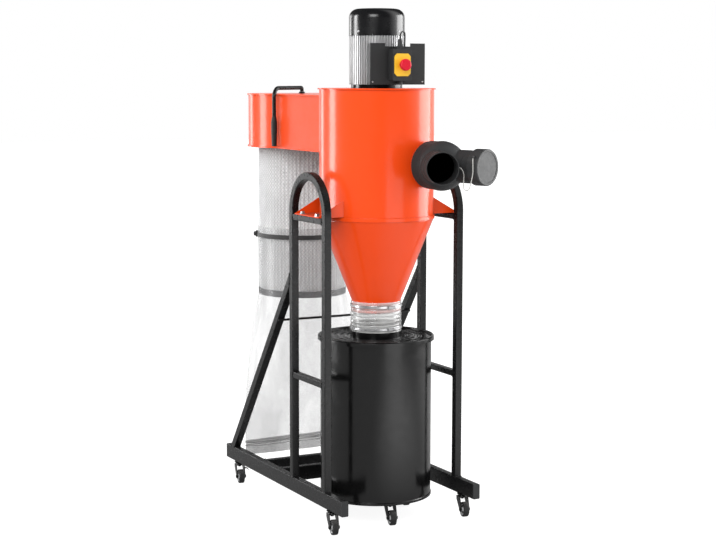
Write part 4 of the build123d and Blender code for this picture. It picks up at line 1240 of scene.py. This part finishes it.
def finish_floor():
    """Pale floor that keeps a shadow near the machine and is plain white further off, with a brighter pool in gloss."""
    finish = bpy.data.materials.new("studio_floor")
    finish.use_nodes = True
    tree = finish.node_tree
    tree.nodes.clear()
    place = object_place(tree)
    far = reckon_vector(tree, "LENGTH", place)
    from_pool = reckon_vector(tree, "LENGTH", reckon_vector(tree, "SUBTRACT", place, POOL))
    eye, gloss = eye_and_gloss(tree)
    seen = reckon(tree, "MAXIMUM", eye, product(tree, gloss, spread(tree, from_pool, 0.5, 1.6, 1.5, 0.10)))
    strength = product(tree, seen, spread(tree, far, 0.8, 3.0, 0.90, 1.0))
    matt = wire(tree, "ShaderNodeBsdfDiffuse", {"Color": (0.30, 0.30, 0.30, 1.0)})
    glow = wire(tree, "ShaderNodeEmission", {"Color": WHITE, "Strength": strength})
    both = wire(tree, "ShaderNodeAddShader", {0: matt.outputs[0], 1: glow.outputs[0]})
    wire(tree, "ShaderNodeOutputMaterial", {"Surface": both.outputs[0]})
    return finish


class COLLECTOR_OT_studio(PieceOperator):
    """Lay the floor, light the machine and set the camera"""
    bl_idname = "collector.build_studio"
    bl_label = "Studio"

    def execute(self, context):
        sizes = context.scene.collector_stage
        half = sizes.floor / 2
        mesh = bpy.data.meshes.new("studio_floor")
        mesh.from_pydata([(-half, -half, 0), (half, -half, 0), (half, half, 0), (-half, half, 0)], [], [(0, 1, 2, 3)])
        mesh.materials.append(finish_floor())
        new_object("studio_floor", mesh)
        light_world(front=0.58, left=1.80, right=0.50, backdrop=1.0, dim=0.04)
        for name, values in LAMPS.items():
            add_lamp(name, *values)
        data = bpy.data.cameras.new("photo_camera")
        data.sensor_width = 36.0
        data.lens = sizes.lens
        data.clip_end = 200.0
        camera = new_object("photo_camera", data)
        turn = Matrix.Rotation(-math.radians(sizes.turn), 4, "Z") @ Matrix.Rotation(
            math.radians(90.0 - sizes.tilt), 4, "X") @ Matrix.Rotation(math.radians(sizes.roll), 4, "Z")
        camera.matrix_world = Matrix.Translation(Vector(sizes.camera)) @ turn
        context.scene.camera = camera
        context.scene.view_settings.view_transform = "Standard"
        return {"FINISHED"}


OPERATORS = (
    COLLECTOR_OT_frame,
    COLLECTOR_OT_cyclone,
    COLLECTOR_OT_inlet,
    COLLECTOR_OT_motor,
    COLLECTOR_OT_switch,
    COLLECTOR_OT_filter,
    COLLECTOR_OT_bag,
    COLLECTOR_OT_crank,
    COLLECTOR_OT_drum,
    COLLECTOR_OT_casters,
    COLLECTOR_OT_studio,
)


class COLLECTOR_PT_panel(bpy.types.Panel):
    """Lists the pieces of the collector and their sizes"""
    bl_idname = "COLLECTOR_PT_panel"
    bl_label = "Dust Collector"
    bl_space_type = "VIEW_3D"
    bl_region_type = "UI"
    bl_category = "Collector"

    def draw(self, context):
        column = self.layout.column()
        for operator in OPERATORS:
            column.operator(operator.bl_idname)
        for name, group in SETTINGS.items():
            box = column.box()
            values = getattr(context.scene, name)
            for field in group.__annotations__:
                box.prop(values, field)


def register():
    for name, group in SETTINGS.items():
        bpy.utils.register_class(group)
        setattr(bpy.types.Scene, name, bpy.props.PointerProperty(type=group))
    for operator in OPERATORS:
        bpy.utils.register_class(operator)
    bpy.utils.register_class(COLLECTOR_PT_panel)


def unregister():
    bpy.utils.unregister_class(COLLECTOR_PT_panel)
    for operator in reversed(OPERATORS):
        bpy.utils.unregister_class(operator)
    for name, group in SETTINGS.items():
        delattr(bpy.types.Scene, name)
        bpy.utils.unregister_class(group)


def main():
    register()
    for operator in OPERATORS:
        family, action = operator.bl_idname.split(".")
        getattr(getattr(bpy.ops, family), action)()


if __name__ == "__main__":
    main()
